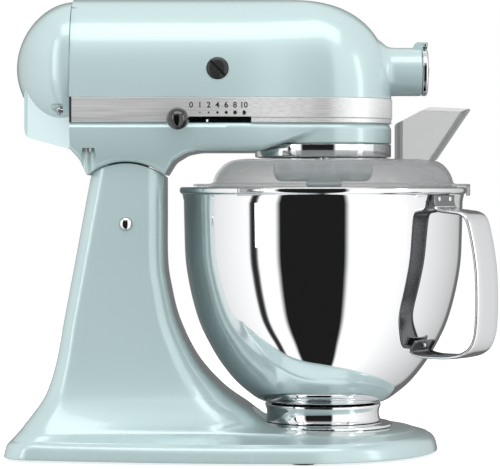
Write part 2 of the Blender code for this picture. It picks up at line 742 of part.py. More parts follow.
def armature_profile():
    """Plain shaft with the worm's thread as rounded ridges at the front end."""
    worm_start, worm_end = 8 * MM, 34 * MM
    profile = [(0, worm_end)]
    turns = 5
    for i in range(turns):
        z = worm_end - (worm_end - worm_start) * i / turns
        pitch = (worm_end - worm_start) / turns
        profile += [(WORM_R - 1.6 * MM, z), (WORM_R, z - 0.3 * pitch), (WORM_R, z - 0.6 * pitch)]
    profile += [(WORM_R - 1.6 * MM, worm_start), (5 * MM, worm_start), (5 * MM, -135 * MM), (0, -135 * MM)]
    return profile


def make_fan():
    fan = ring("cooling_fan", 12 * MM, 5.4 * MM, (-108 * MM, 0, MOTOR_Z), 7 * MM, "X", BLACK)
    for i in range(8):
        blade = box(f"fan_blade_{i}", (-1 * MM, 10 * MM, -3 * MM), (1 * MM, 34 * MM, 3 * MM))
        turn = Matrix.Rotation(math.tau * i / 8, 4, "X")
        middle = Matrix.Translation((-104.5 * MM, 0, MOTOR_Z))
        pitch = Matrix.Rotation(math.radians(35), 4, "Y")
        blade.matrix_world = middle @ turn @ Matrix.Translation((0, 22 * MM, 0)) @ pitch
        join(fan, blade)
    return fan


def make_brush_cap(name, side):
    cap_profile = in_mm((0, 62), (6.6, 61.7))
    cap_profile += [(BRUSH_CAP_R, 60.6 * MM), (BRUSH_CAP_R, 54 * MM), (0, 54 * MM)]
    cap = turned(f"brush_cap_{name}", cap_profile, (BRUSH_X, 0, MOTOR_Z), "Y", BLACK, 24)
    slot = box(f"brush_cap_slot_{name}", (-6.4 * MM, -0.9 * MM, 60.6 * MM), (6.4 * MM, 0.9 * MM, 65 * MM))
    slant = Matrix.Rotation(math.radians(45), 4, "Z")
    flip = Matrix.Rotation(math.radians(180) if side < 0 else 0.0, 4, "X")
    place = Matrix.Translation((BRUSH_X, 0, MOTOR_Z)) @ flip @ AXIS_TURN["Y"]
    cap.matrix_world = place
    slot.matrix_world = place @ slant @ Matrix.Translation((0, 0, 62.8 * MM))
    return cut(cap, slot)


# ---------------------------------------------------------------- gear train


def make_lay_shaft():
    x, y = LAY_SHAFT
    shaft = cylinder("lay_shaft", 4.5 * MM, (x, y, 246 * MM), 62 * MM, mat=GEAR_STEEL, segments=16)
    wheel = spur_gear("worm_wheel", WORM_WHEEL_R, 3 * MM, 10 * MM, 20, (x, y, 292 * MM), BRONZE)
    pinion = spur_gear("drive_pinion", DRIVE_PINION_R, 2.4 * MM, 11 * MM, 8, (x, y, 257.5 * MM))
    bore = cylinder("lay_bore", 4.9 * MM, (x, y, 250 * MM), 60 * MM, segments=16)
    cut(wheel, bore)
    cut(pinion, bore)
    return [shaft, wheel, pinion]


def make_centre_train():
    """The vertical shaft, its two gears and the planetary that it turns."""
    shaft = cylinder("centre_shaft", SHAFT_R, (BOWL_X, 0, 215.5 * MM), 94 * MM, mat=GEAR_STEEL)
    gear = spur_gear("centre_gear", CENTRE_GEAR_R, 3 * MM, 10 * MM, 32, (BOWL_X, 0, 258 * MM))
    levels = in_mm((0, 23.6, 20.5), (5.2, 23.6, 20.5), (9.2, 15.6, 13.6))
    bevel = toothed("centre_bevel_gear", levels, 20, (BOWL_X, 0, 279 * MM), mat=GEAR_STEEL)
    bore = cylinder("centre_bore", SHAFT_R + GAP, (BOWL_X, 0, 210 * MM), 120 * MM)
    cut(gear, bore)
    cut(bevel, bore)
    return [shaft, gear, bevel, make_planetary()]


def make_planetary():
    low, top = 211.5 * MM, 227.8 * MM
    profile = [
        (PLANETARY_R, top),
        (PLANETARY_R, low + 7 * MM),
        (PLANETARY_R - 2 * MM, low + 2.2 * MM),
        (PLANETARY_R - 6 * MM, low),
        (0, low),
        (0, low + 3.6 * MM),
        (PLANETARY_R - 7 * MM, low + 3.6 * MM),
        (PLANETARY_R - 3 * MM, low + 8 * MM),
        (PLANETARY_R - 3 * MM, top),
    ]
    planetary = turned("planetary", profile, (BOWL_X, 0, 0), mat=PAINT, steps=28, ring=True)
    centre_boss = cylinder("centre_boss", 10 * MM, (BOWL_X, 0, low + 1 * MM), top - low - 1 * MM)
    boss_low = 207 * MM
    boss_base = (BOWL_X, -AGITATOR_OFFSET, boss_low)
    agitator_boss = cylinder("agitator_boss", BOSS_R, boss_base, top - boss_low, segments=28)
    join(planetary, centre_boss, agitator_boss)
    shaft_bore = cylinder("planetary_bore", SHAFT_R + GAP, (BOWL_X, 0, 215.1 * MM), 30 * MM)
    agitator_bore = cylinder("agitator_bore", AGITATOR_R + GAP, (BOWL_X, -AGITATOR_OFFSET, 190 * MM), 60 * MM)
    return cut(planetary, shaft_bore, agitator_bore)


def make_agitator():
    base = Vector((BOWL_X, -AGITATOR_OFFSET, 0))
    top, low, chamfer = 239.5 * MM, 184 * MM, 1 * MM
    profile = [(0, top), (AGITATOR_R, top), (AGITATOR_R, low + chamfer)]
    profile += [(AGITATOR_R - chamfer, low), (0, low)]
    shaft = turned("agitator_shaft", profile, base, mat=CHROME, steps=20)
    pin_base = base + Vector((-9 * MM, 0, 195 * MM))
    join(shaft, cylinder("drive_pin", 1.6 * MM, pin_base, 18 * MM, "X", segments=12))
    pinion_base = base + Vector((0, 0, 230.2 * MM))
    pinion = spur_gear("planet_pinion", PLANET_PINION_R, 2 * MM, 8.5 * MM, 8, pinion_base)
    cut(pinion, cylinder("pinion_bore", AGITATOR_R + GAP, base + Vector((0, 0, 220 * MM)), 30 * MM))
    return [shaft, pinion]


def make_ring_gear():
    base = (BOWL_X, 0, 229.8 * MM)
    ring_gear = cylinder("ring_gear", 50.6 * MM, base, 10.3 * MM, mat=GEAR_STEEL, segments=28)
    tip, root = RING_GEAR_R, RING_GEAR_R + 3 * MM
    levels = [(-5 * MM, root, tip), (20 * MM, root, tip)]
    return cut(ring_gear, toothed("ring_teeth", levels, 32, (BOWL_X, 0, 229 * MM)))


def make_hub_drive():
    """The power take-off: bevel gear, square socket, and the bush that carries it."""
    levels = in_mm((0, 7.6, 6.0), (8, 11.6, 9.6), (11, 11.6, 9.6))
    gear = toothed("hub_bevel_gear", levels, 10, (73.4 * MM, 0, MOTOR_Z), "X", GEAR_STEEL)
    socket = cylinder("hub_socket", 9 * MM, (85 * MM, 0, MOTOR_Z), 46 * MM, "X", CHROME)
    half = 5 * MM
    cut(socket, box("square_hole", (108 * MM, -half, MOTOR_Z - half), (140 * MM, half, MOTOR_Z + half)))
    bush = ring("hub_bush", HUB_BORE_R - GAP, 9.3 * MM, (102 * MM, 0, MOTOR_Z), 16 * MM, "X", BRONZE)
    return gear, socket, bush


# ---------------------------------------------------------------- controls and trim


def make_hub_cap():
    low, high = HUB_END + 0.5 * MM, 138.6 * MM
    profile = [(0, high), (16.8 * MM, high), (HUB_R, high - 1.4 * MM), (HUB_R, low), (0, low)]
    cap = turned("hub_cap", profile, (0, 0, MOTOR_Z), "X", CHROME, 32)
    knuckle = cylinder("cap_knuckle", 2.1 * MM, CAP_HINGE - Vector((0, 5 * MM, 0)), 10 * MM, "Y", segments=12)
    bridge = box("cap_bridge", (low + 0.2 * MM, -5 * MM, 312 * MM), (high - 0.3 * MM, 5 * MM, CAP_HINGE.z))
    join(cap, bridge, knuckle)
    cut(cap, cap_pin_bore("knuckle_bore"))
    pin = cylinder("hub_cap_pin", 1.2 * MM, CAP_HINGE - Vector((0, 9 * MM, 0)), 18 * MM, "Y", CHROME, 12)
    return cap, pin


def make_attachment_knob():
    profile = in_mm((0, 36), (7.5, 36), (9, 34.5), (9, 24), (7, 21), (3, 20), (3, 15.8), (0, 15.8))
    return turned("attachment_knob", profile, (KNOB_X, 0, MOTOR_Z), "Y", BLACK, 24)


def make_speed_lever():
    """A lever on a pin inside the gearcase, its arm through the band's slot, and the ball on its end."""
    x, y = LEVER_PIVOT
    eye = ring("speed_lever", 5.5 * MM, 2.8 * MM, (x, y, LEVER_Z - 1.2 * MM), 2.4 * MM, mat=CHROME, steps=20)
    reach, rest = 58 * MM, math.radians(-20)
    along = Vector((math.sin(rest), -math.cos(rest), 0))
    ball_centre = Vector((x, y, LEVER_Z)) + along * reach
    arm = box("lever_arm", (-2.6 * MM, 4 * MM, -1.1 * MM), (2.6 * MM, reach - 3 * MM, 1.1 * MM))
    arm.matrix_world = (
        Matrix.Translation((x, y, LEVER_Z))
        @ Matrix.Rotation(math.atan2(along.y, along.x) - math.pi / 2, 4, "Z")
        @ Matrix.Translation((0, (reach + 1 * MM) / 2, 0))
    )
    join(eye, arm)
    bm = bmesh.new()
    bmesh.ops.create_uvsphere(bm, u_segments=20, v_segments=12, radius=8.6 * MM)
    ball = from_bmesh("speed_knob", bm, BLACK)
    ball.location = ball_centre
    pocket = box("knob_pocket", (-3 * MM, -12 * MM, -1.5 * MM), (3 * MM, -2.5 * MM, 1.5 * MM))
    inward = Matrix.Rotation(rest, 4, "Z") @ Matrix.Translation((0, 7.2 * MM, 0))
    pocket.matrix_world = Matrix.Translation(ball_centre) @ inward
    cut(ball, pocket)
    pin = cylinder("lever_pivot_pin", 2.4 * MM, (x, y, 239 * MM), 24 * MM, mat=GEAR_STEEL, segments=16)
    return eye, ball, pin


# ---------------------------------------------------------------- bowl, handle, shield

# Outside of the bowl as (radius, height), rim first
BOWL_PROFILE = (
    (110.6, 207.0),
    (112.2, 205.6),
    (112.2, 203.4),
    (110.4, 201.8),
    (109.0, 196.0),
    (107.8, 153.0),
    (105.8, 137.0),
    (102.0, 119.0),
    (96.9, 102.0),
    (90.2, 87.0),
    (80.8, 71.0),
    (69.0, 56.0),
    (57.0, 45.6),
    (49.0, 40.0),
    (40.0, 38.2),
    (0.0, 38.2),
)


def bowl_radius(z):
    """Outside radius of the bowl at a height, read from its profile."""
    for (high_r, high_z), (low_r, low_z) in zip(BOWL_PROFILE, BOWL_PROFILE[1:]):
        if high_z * MM >= z >= low_z * MM:
            t = (high_z * MM - z) / max((high_z - low_z) * MM, 1e-9)
            return (high_r + (low_r - high_r) * t) * MM
    return 0.0


def make_bowl():
    profile = in_mm(*BOWL_PROFILE)
    bowl = turned("bowl", profile, (BOWL_X, 0, 0), mat=POLISHED, steps=36)
    skin = bowl.modifiers.new("wall", "SOLIDIFY")
    skin.thickness = BOWL_WALL
    skin.offset = -1
    return bowl


def make_foot_ring():
    low, top = PAD_Z + 4.3 * MM, 37.8 * MM
    outer, waist, inner = FOOT_RING_R, FOOT_RING_R - 1.5 * MM, FOOT_RING_R - 5 * MM
    profile = [(outer, top), (outer, 33 * MM), (waist, 32 * MM), (waist, 27.5 * MM)]
    profile += [(outer, 26.5 * MM), (outer, low), (inner, low), (inner, top)]
    return turned("bowl_foot_ring", profile, (BOWL_X, 0, 0), mat=POLISHED, steps=28, ring=True)


def handle_path():
    """Middle of the strap as (distance from the bowl's axis, height), top tab to bottom tab."""
    off = GAP + HANDLE_THICK / 2
    tab_low = bowl_radius(84 * MM) + 2 * off
    return [
        (bowl_radius(199 * MM) + off + 0.3 * MM, 200.6 * MM),
        (bowl_radius(195 * MM) + off + 0.3 * MM, 194.5 * MM),
        (114.5 * MM, 190.0 * MM),
        (126.0 * MM, 188.3 * MM),
        (135.5 * MM, 186.8 * MM),
        (141.0 * MM, 182.0 * MM),
        (144.6 * MM, 170.0 * MM),
        (147.8 * MM, 154.0 * MM),
        (149.5 * MM, 137.0 * MM),
        (149.5 * MM, 108.0 * MM),
        (146.6 * MM, 91.5 * MM),
        (139.0 * MM, 83.0 * MM),
        (126.0 * MM, 79.5 * MM),
        (110.0 * MM, 78.8 * MM),
        (98.0 * MM, 79.2 * MM),
        (tab_low - 0.6 * MM, 82.0 * MM),
        (tab_low + 3.6 * MM, 90.0 * MM),
    ]


def make_handle():
    path = [Vector(point) for point in handle_path()]
    outward = Vector((math.cos(HANDLE_ANGLE), math.sin(HANDLE_ANGLE), 0))
    across = Vector((-math.sin(HANDLE_ANGLE), math.cos(HANDLE_ANGLE), 0))
    loops = []
    for i, point in enumerate(path):
        run = path[min(i + 1, len(path) - 1)] - path[max(i - 1, 0)]
        normal = Vector((run.y, -run.x)).normalized() * HANDLE_THICK / 2
        loop = []
        for side, width in ((1, -1), (1, 1), (-1, 1), (-1, -1)):
            spot = point + normal * side
            loop.append(Vector((BOWL_X, 0, spot.y)) + outward * spot.x + across * HANDLE_HALF * width)
        loops.append(loop)
    return loft("bowl_handle", loops, POLISHED)


def shield_profile():
    """Closed section of the shield's dome and flange, outer side from top to bottom."""
    outer = [(50, 228.6), (80, 228.4), (90, 227.0), (96.5, 222), (100.4, 215.6), (102, 209.6), (115, 209.4)]
    inner = [(115, 207.4), (104.5, 207.4), (104.5, 200), (102.5, 200), (101.5, 207.4)]
    inner += [(98.4, 214.8), (94.8, 220.6), (89, 225.0), (80, 226.2), (50, 226.4)]
    return in_mm(*outer, *inner)


CHUTE_OUTLINE = ((115.4, 227.0), (115.4, 257.0), (137.0, 268.4), (170.0, 267.0), (143.0, 227.0))


def make_shield():
    """Clear pouring shield: a dome open at the rear, with a chute beside the nose."""
    shield = turned("pour_shield", shield_profile(), (BOWL_X, 0, 0), mat=CLEAR, steps=36, ring=True)
    half = [(BOWL_X - 140 * MM, SHIELD_MOUTH_HALF), (BOWL_X, SHIELD_OPENING_R + 0.5 * MM)]
    half += arc((BOWL_X, 0), SHIELD_OPENING_R + 0.5 * MM, 84, 0, 14)
    mouth = half + [(x, -y) for x, y in reversed(half[:-1])]
    cut(shield, loft("shield_mouth", [at_height(mouth, z) for z in (190 * MM, 240 * MM)]))
    outer = in_mm(*CHUTE_OUTLINE)
    join(shield, prism("chute_body", outer, -CHUTE_HALF, CHUTE_HALF))
    wall = SHIELD_WALL
    inner = [
        (outer[0][0] + wall, 195 * MM),
        (outer[0][0] + wall, 280 * MM),
        (outer[3][0] + 4 * MM, 280 * MM),
        (outer[3][0] - wall, outer[3][1]),
        (outer[4][0] - wall, outer[4][1] - 1 * MM),
        (outer[4][0] - wall, 195 * MM),
    ]
    return cut(shield, prism("chute_channel", inner, -CHUTE_HALF + wall, CHUTE_HALF - wall))


# ---------------------------------------------------------------- assembly


def build():
    pedestal = make_pedestal()
    make_feet()
    make_clamp_plate(pedestal)
    make_hinge_pin()
    lock = pivot("head_lock", (-76 * MM, 26 * MM, 198.5 * MM))
    carry(lock, make_lock_lever())

    head = pivot("head_tilt", PIN)
    gear, socket, bush = make_hub_drive()
    cap, cap_pin = make_hub_cap()
    lever, ball, lever_pin = make_speed_lever()
    cord_bush = ring("cord_inlet_bush", 6.6 * MM, 3.6 * MM, (-173.8 * MM, 0, CORD_Z), 9 * MM, "X", BLACK)
    drip_base = (BOWL_X, 0, 230.2 * MM)
    drip_ring = ring("drip_ring", 53.2 * MM, 51.2 * MM, drip_base, 9.9 * MM, mat=CHROME, steps=32)
    carry(head, make_upper_housing(), make_lower_housing(), make_rear_cover(), make_cover_screw())
    carry(head, make_trim_band(), bush, cap_pin, lever_pin, cord_bush, drip_ring, make_ring_gear())
    carry(head, *make_housing_screws())
    make_motor(head)

    lay = pivot("lay_shaft_axis", (*LAY_SHAFT, 0))
    carry(lay, *make_lay_shaft())
    centre = pivot("planetary_axis", (BOWL_X, 0, 0))
    carry(centre, *make_centre_train())
    agitator = pivot("agitator_axis", (BOWL_X, -AGITATOR_OFFSET, 0))
    carry(agitator, *make_agitator())
    carry(centre, agitator)
    hub = pivot("hub_axis", (0, 0, MOTOR_Z))
    carry(hub, gear, socket)
    hub_cap = pivot("hub_cap_hinge", CAP_HINGE)
    carry(hub_cap, cap)
    knob = pivot("attachment_knob_axis", (KNOB_X, 0, MOTOR_Z))
    carry(knob, make_attachment_knob())
    speed = pivot("speed_lever_axis", (*LEVER_PIVOT, LEVER_Z))
    carry(speed, lever, ball)
    carry(head, lay, centre, hub, hub_cap, knob, speed)

    bowl_axis = pivot("bowl_axis", (BOWL_X, 0, 0))
    carry(bowl_axis, make_bowl(), make_foot_ring(), make_handle())
    shield_axis = pivot("shield_axis", (BOWL_X, 0, 0))
    carry(shield_axis, make_shield())
    carry(bowl_axis, shield_axis)


build()
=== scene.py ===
"""Looks of the stand mixer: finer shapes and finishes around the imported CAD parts.

The modelling helpers work in millimetres, in the frame of the CAD parts: +X points to the nose,
-Y is the operator's side and Z is up from the worktop.
"""

import functools
import json
import math

import bmesh
import bpy
from mathutils import Matrix, Vector


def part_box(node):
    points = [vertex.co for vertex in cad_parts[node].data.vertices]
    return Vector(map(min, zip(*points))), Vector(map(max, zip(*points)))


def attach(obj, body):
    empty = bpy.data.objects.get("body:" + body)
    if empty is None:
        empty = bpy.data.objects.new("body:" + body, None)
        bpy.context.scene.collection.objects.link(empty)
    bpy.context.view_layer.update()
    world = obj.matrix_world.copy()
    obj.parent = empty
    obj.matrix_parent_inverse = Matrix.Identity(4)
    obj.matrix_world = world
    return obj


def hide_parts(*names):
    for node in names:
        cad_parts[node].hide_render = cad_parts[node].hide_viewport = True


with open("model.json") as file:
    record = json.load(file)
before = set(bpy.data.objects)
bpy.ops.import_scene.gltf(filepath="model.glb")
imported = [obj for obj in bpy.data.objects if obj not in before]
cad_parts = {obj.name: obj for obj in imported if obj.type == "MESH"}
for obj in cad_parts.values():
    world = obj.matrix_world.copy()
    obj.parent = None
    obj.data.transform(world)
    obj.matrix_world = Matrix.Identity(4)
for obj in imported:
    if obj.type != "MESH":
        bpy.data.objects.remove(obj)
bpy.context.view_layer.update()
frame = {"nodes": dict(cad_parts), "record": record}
NODES = frame["nodes"]
MM = 0.001


def cad_box(node):
    """Lowest and highest corner of a CAD node at rest, in millimetres."""
    low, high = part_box(node)
    return low / MM, high / MM


def middle(node):
    low, high = cad_box(node)
    return (low + high) / 2


def ring_size(node):
    """Lowest and highest point and outer radius of a round CAD node that stands on the bowl's axis."""
    low, high = cad_box(node)
    return low.z, high.z, high.y


# Driving dimensions, in millimetres, read from the frame
PIN = middle("hinge_pin")
BOWL_AXIS = Vector((middle("ring_gear").x, 0.0, 0.0))
MOTOR_Z = middle("armature_core").z
BRUSH_X = middle("brush_cap_near").x
KNOB = middle("speed_knob")
KNOB_R = (cad_box("speed_knob")[1].z - cad_box("speed_knob")[0].z) / 2
BASE_LOW, BASE_HIGH = cad_box("pedestal")
BAND_LOW, BAND_HIGH = cad_box("trim_band")
HEAD_TOP = cad_box("upper_housing")[1].z
HEAD_REAR = cad_box("upper_housing")[0].x
HEAD_HALF = BAND_HIGH.y - 0.8
NOSE_R = BAND_HIGH.x - 0.8 - BOWL_AXIS.x
NOSE_FLOOR = cad_box("drip_ring")[1].z + 0.4
COVER_BACK = cad_box("rear_cover")[0].x
PAD_TOP = cad_box("bowl_clamp_plate")[0].z - 0.4
BOWL_TOP = cad_box("bowl")[1]

# Shared proportions, in millimetres
BAND_TOP = BAND_HIGH.z + 0.3
BAND_BOTTOM = BAND_LOW.z - 0.2
BAND_RECESS = 2.5
JOINT_Z = (BAND_TOP + BAND_BOTTOM) / 2
TAPER_START = -25.0
DOME_START = 30.0
DOME_POWER = 2 / 2.45
COVER_SEAM = HEAD_REAR - 0.3
PIN_BORE_R = 5.0
CAP_PIN_BORE_R = 1.5
LEVER_SLOT_REAR, LEVER_SLOT_FRONT = -56, 1
GEARCASE_TOP = 285

# ---------------------------------------------------------------- node materials


def colour_mix(tree, factor):
    """A mix of two colours: returns its two colour inputs and its result."""
    mixed = tree.nodes.new("ShaderNodeMix")
    mixed.data_type = "RGBA"
    tree.links.new(factor, mixed.inputs["Factor"])
    low, high = [item for item in mixed.inputs if item.type == "RGBA"]
    return low, high, next(item for item in mixed.outputs if item.type == "RGBA")


class Finish:
    """A node material on the Principled shader, with helpers for object-space detail."""

    def __init__(self, name, colour, roughness, metallic=0.0, **inputs):
        self.material = bpy.data.materials.new(name)
        self.material.use_nodes = True
        self.tree = self.material.node_tree
        self.shader = self.tree.nodes["Principled BSDF"]
        self.set("Base Color", (*colour, 1.0))
        self.set("Roughness", roughness)
        self.set("Metallic", metallic)
        for socket, value in inputs.items():
            self.set(socket.replace("_", " "), value)

    def set(self, socket, value):
        self.shader.inputs[socket].default_value = value

    def link(self, output, socket):
        self.tree.links.new(output, socket)

    def node(self, kind, **inputs):
        made = self.tree.nodes.new(kind)
        for socket, value in inputs.items():
            made.inputs[socket.replace("_", " ")].default_value = value
        return made

    def place(self, stretch):
        """Object coordinates, stretched; the pieces' objects sit at the origin."""
        coordinates = self.node("ShaderNodeTexCoord")
        mapping = self.node("ShaderNodeMapping", Scale=stretch)
        self.link(coordinates.outputs["Object"], mapping.inputs["Vector"])
        return mapping.outputs["Vector"]

    def noise(self, scale, detail=3.0, stretch=(1, 1, 1)):
        made = self.node("ShaderNodeTexNoise", Scale=scale, Detail=detail)
        self.link(self.place(stretch), made.inputs["Vector"])
        return made.outputs["Fac"]

    def ranged(self, value, low, high, start=0.3, end=0.7):
        made = self.node("ShaderNodeMapRange", From_Min=start, From_Max=end, To_Min=low, To_Max=high)
        self.link(value, made.inputs["Value"])
        return made.outputs["Result"]

    def vary_roughness(self, value, low, high):
        self.link(self.ranged(value, low, high), self.shader.inputs["Roughness"])

    def vary_colour(self, value, dark, light):
        low, high, colour = colour_mix(self.tree, self.ranged(value, 0.0, 1.0))
        low.default_value = (*dark, 1.0)
        high.default_value = (*light, 1.0)
        self.link(colour, self.shader.inputs["Base Color"])

    def relief(self, value, depth, strength=1.0, edge=0.0):
        """Bump of the given depth in millimetres; edge rounds the mesh's sharp edges."""
        bump = self.node("ShaderNodeBump", Distance=depth * MM, Strength=strength)
        self.link(value, bump.inputs["Height"])
        if edge:
            rounding = self.node("ShaderNodeBevel", Radius=edge * MM)
            rounding.samples = 6
            self.link(rounding.outputs["Normal"], bump.inputs["Normal"])
        self.link(bump.outputs["Normal"], self.shader.inputs["Normal"])


def make_paint(name):
    """Enamel with a very slight drift of tone, gloss and level under a clear coat."""
    paint = Finish(name, (0.56, 0.72, 0.73), 0.28, 0.15, Coat_Weight=1.0, Coat_Roughness=0.06)
    paint.vary_colour(paint.noise(6.0, 0.0), (0.558, 0.718, 0.728), (0.562, 0.722, 0.732))
    paint.vary_roughness(paint.noise(12.0, 0.0), 0.27, 0.29)
    paint.relief(paint.noise(40.0, 0.0), 0.0008, 0.05)
    return paint.material


def make_metal(name, colour, rough, scale=260.0, stretch=(1, 1, 1), depth=0.002, edge=0.3):
    """Bare or plated metal with uneven polish; a stretched grain gives it a brushed direction."""
    metal = Finish(name, colour, rough[0], 1.0)
    grain = metal.noise(scale, 4.0, stretch)
    metal.vary_roughness(grain, *rough)
    metal.relief(grain, depth, 0.4, edge)
    return metal.material


def make_brushed(name, colour, rough):
    """Satin metal brushed along X: long fine scratches that catch the light."""
    metal = Finish(name, colour, rough[0], 0.6)
    scratches = metal.noise(40.0, 6.0, (0.6, 40.0, 90.0))
    metal.vary_roughness(scratches, *rough)
    metal.vary_colour(scratches, tuple(0.80 * c for c in colour), tuple(min(1.12 * c, 1.0) for c in colour))
    metal.relief(scratches, 0.01, 0.5, 0.25)
    return metal.material


def make_turned_metal(name, colour, rough, depth=0.004):
    """Metal spun about a vertical axis: faint polishing rings at one height."""
    metal = Finish(name, colour, rough[0], 1.0)
    rings = metal.noise(60.0, 5.0, (0.4, 0.4, 30.0))
    metal.vary_roughness(rings, *rough)
    metal.relief(rings, depth, 0.25, 0.3)
    return metal.material


def make_plastic(name, colour, rough, scale=900.0, depth=0.01, edge=0.3, coat=0.0):
    plastic = Finish(name, colour, rough[0], 0.0, Coat_Weight=coat)
    grain = plastic.noise(scale, 3.0)
    plastic.vary_roughness(grain, *rough)
    plastic.vary_colour(plastic.noise(60.0), tuple(0.8 * c for c in colour), tuple(1.2 * c for c in colour))
    plastic.relief(grain, depth, 0.4, edge)
    return plastic.material


def make_clear(name):
    """Clear moulded plastic: nearly open face on, denser and paler at a glancing angle."""
    clear = Finish(name, (0.36, 0.37, 0.375), 0.07, 0.0, IOR=1.5)
    facing = clear.node("ShaderNodeLayerWeight", Blend=0.35)
    density = clear.ranged(facing.outputs["Facing"], 0.20, 0.96, 0.0, 1.0)
    clear.link(density, clear.shader.inputs["Alpha"])
    clear.vary_roughness(clear.noise(120.0), 0.05, 0.10)
    clear.relief(clear.noise(70.0, 2.0), 0.01, 0.3)
    return clear.material


PAINT = make_paint("ice_blue_enamel")
CHROME = make_metal("chrome", (0.86, 0.87, 0.88), (0.03, 0.07))
MIRROR = make_turned_metal("polished_steel", (0.84, 0.85, 0.86), (0.015, 0.035), 0.001)
STRAP = make_metal("polished_strap", (0.80, 0.81, 0.82), (0.08, 0.16))
# Dark steel for the handle strap's inner side and tabs: its dark colour is painted shade, its higher
# roughness an unpolished finish.
STRAP_SHADE_SIDE = make_metal("unpolished_strap_painted_shade", (0.22, 0.225, 0.23), (0.25, 0.40), 500.0, depth=0.006)
BAND = make_brushed("brushed_band", (0.89, 0.90, 0.90), (0.34, 0.52))
GEAR_STEEL = make_turned_metal("gear_steel", (0.46, 0.47, 0.49), (0.30, 0.45))
CASTING = make_metal("bare_casting", (0.60, 0.60, 0.61), (0.45, 0.65), 320.0, depth=0.05)
BRONZE = make_turned_metal("bronze", (0.62, 0.42, 0.20), (0.30, 0.45))
COPPER = make_metal("copper_winding", (0.72, 0.36, 0.20), (0.30, 0.50), 30.0, (3.0, 40.0, 40.0), 0.08)
BLACK = make_plastic("black_plastic", (0.006, 0.006, 0.007), (0.03, 0.07), depth=0.002, coat=1.0)
SATIN = make_plastic("satin_black", (0.028, 0.029, 0.030), (0.24, 0.36))
# Painted shade: a near-black finish put where gaps and the lever's slot fall into shade, on the band's end
# posts and the lever's pivot pin.
GAP_SHADE = make_plastic("painted_gap_shade", (0.02, 0.022, 0.024), (0.45, 0.60))
INK = make_plastic("dial_ink", (0.012, 0.013, 0.015), (0.40, 0.55), edge=0.0)
CARBON = make_plastic("carbon", (0.03, 0.03, 0.03), (0.60, 0.80), 500.0, 0.05)
BOARD = make_plastic("insulating_board", (0.22, 0.12, 0.05), (0.45, 0.65), 400.0, 0.03)
RUBBER = make_plastic("rubber", (0.035, 0.035, 0.037), (0.60, 0.80), 700.0, 0.04)
CLEAR = make_clear("clear_plastic")

FINISH_OF_SLOT = {
    "paint": PAINT,
    "chrome": CHROME,
    "polished_steel": MIRROR,
    "brushed_band": BAND,
    "gear_steel": GEAR_STEEL,
    "casting": CASTING,
    "bronze": BRONZE,
    "copper": COPPER,
    "black_plastic": BLACK,
    "carbon": CARBON,
    "board": BOARD,
    "rubber": RUBBER,
    "clear_plastic": CLEAR,
}


def refinish_cad_nodes():
    """Gives every carried-over CAD node the detailed finish of its slot; the lever's pivot pin instead gets
    the painted shade of the slot it sits in.
    """
    slot_of = {}
    for subpart in frame["record"]["subparts"]:
        slot_of[subpart["node"]] = subpart["material_slot"]
    for name, node in NODES.items():
        # The lever's pivot pin is painted dark as the shade of the slot it sits in.
        material = GAP_SHADE if name == "lever_pivot_pin" else FINISH_OF_SLOT[slot_of[name]]
        for slot in node.material_slots:
            slot.material = material


# ---------------------------------------------------------------- mesh helpers


def add_object(name, data):
    obj = bpy.data.objects.new(name, data)
    bpy.context.scene.collection.objects.link(obj)
    return obj


def add_mesh(name, verts, faces, material):
    mesh = bpy.data.meshes.new(name)
    mesh.from_pydata([Vector(v) * MM for v in verts], [], faces)
    mesh.materials.append(material)
    tidy_mesh(mesh)
    return add_object(name, mesh)


def tidy_mesh(mesh):
    bm = bmesh.new()
    bm.from_mesh(mesh)
    bmesh.ops.remove_doubles(bm, verts=bm.verts, dist=0.0005 * MM)
    bmesh.ops.dissolve_degenerate(bm, dist=0.0005 * MM, edges=bm.edges)
    bmesh.ops.recalc_face_normals(bm, faces=bm.faces)
    bm.to_mesh(mesh)
    bm.free()


def skin(name, rings, material, closed=True, caps=True, wrap=False):
    """Joins rings of points with quads. closed joins each ring's ends, wrap the last ring to the first."""
    count = len(rings[0])
    verts = [point for ring in rings for point in ring]
    faces = []
    last = len(rings) if wrap else len(rings) - 1
    for k in range(last):
        a, b = k * count, (k + 1) % len(rings) * count
        for i in range(count if closed else count - 1):
            j = (i + 1) % count
            faces.append((a + i, a + j, b + j, b + i))
    if caps and not wrap:
        faces.append(tuple(range(count)))
        faces.append(tuple(range(len(verts) - count, len(verts))))
    return add_mesh(name, verts, faces, material)


def close_ends(obj):
    """Closes each open end of a skin with one face."""
    bm = bmesh.new()
    bm.from_mesh(obj.data)
    bmesh.ops.holes_fill(bm, edges=[edge for edge in bm.edges if edge.is_boundary])
    bmesh.ops.recalc_face_normals(bm, faces=bm.faces)
    bm.to_mesh(obj.data)
    bm.free()
    return obj


def turned(name, profile, centre, material, axis="Z", steps=128, ring=False):
    """A turned piece from (radius, height) points; a ring's profile closes on itself."""
    rings = []
    for radius, height in profile:
        loop = []
        for i in range(steps):
            angle = math.tau * i / steps
            across, up = radius * math.cos(angle), radius * math.sin(angle)
            loop.append(on_axis(axis, across, up, height) + Vector(centre))
        rings.append(loop)
    return skin(name, rings, material, caps=False, wrap=ring)


def rod(name, radius, start, end, centre, axis="Z", steps=48, material=PAINT):
    """A plain cylinder, for a boss or to cut a bore."""
    return turned(name, [(0, start), (radius, start), (radius, end), (0, end)], centre, material, axis, steps)


def on_axis(axis, across, up, along):
    if axis == "X":
        return Vector((along, across, up))
    if axis == "Y":
        return Vector((across, along, up))
    return Vector((across, up, along))


def prism(name, outline, low, high, material, axis="Y"):
    """An outline of (x, z) points for axis Y, or (x, y) for Z, extruded from low to high."""
    rings = []
    for level in (low, high):
        rings.append([(x, level, v) if axis == "Y" else (x, v, level) for x, v in outline])
    return skin(name, rings, material)


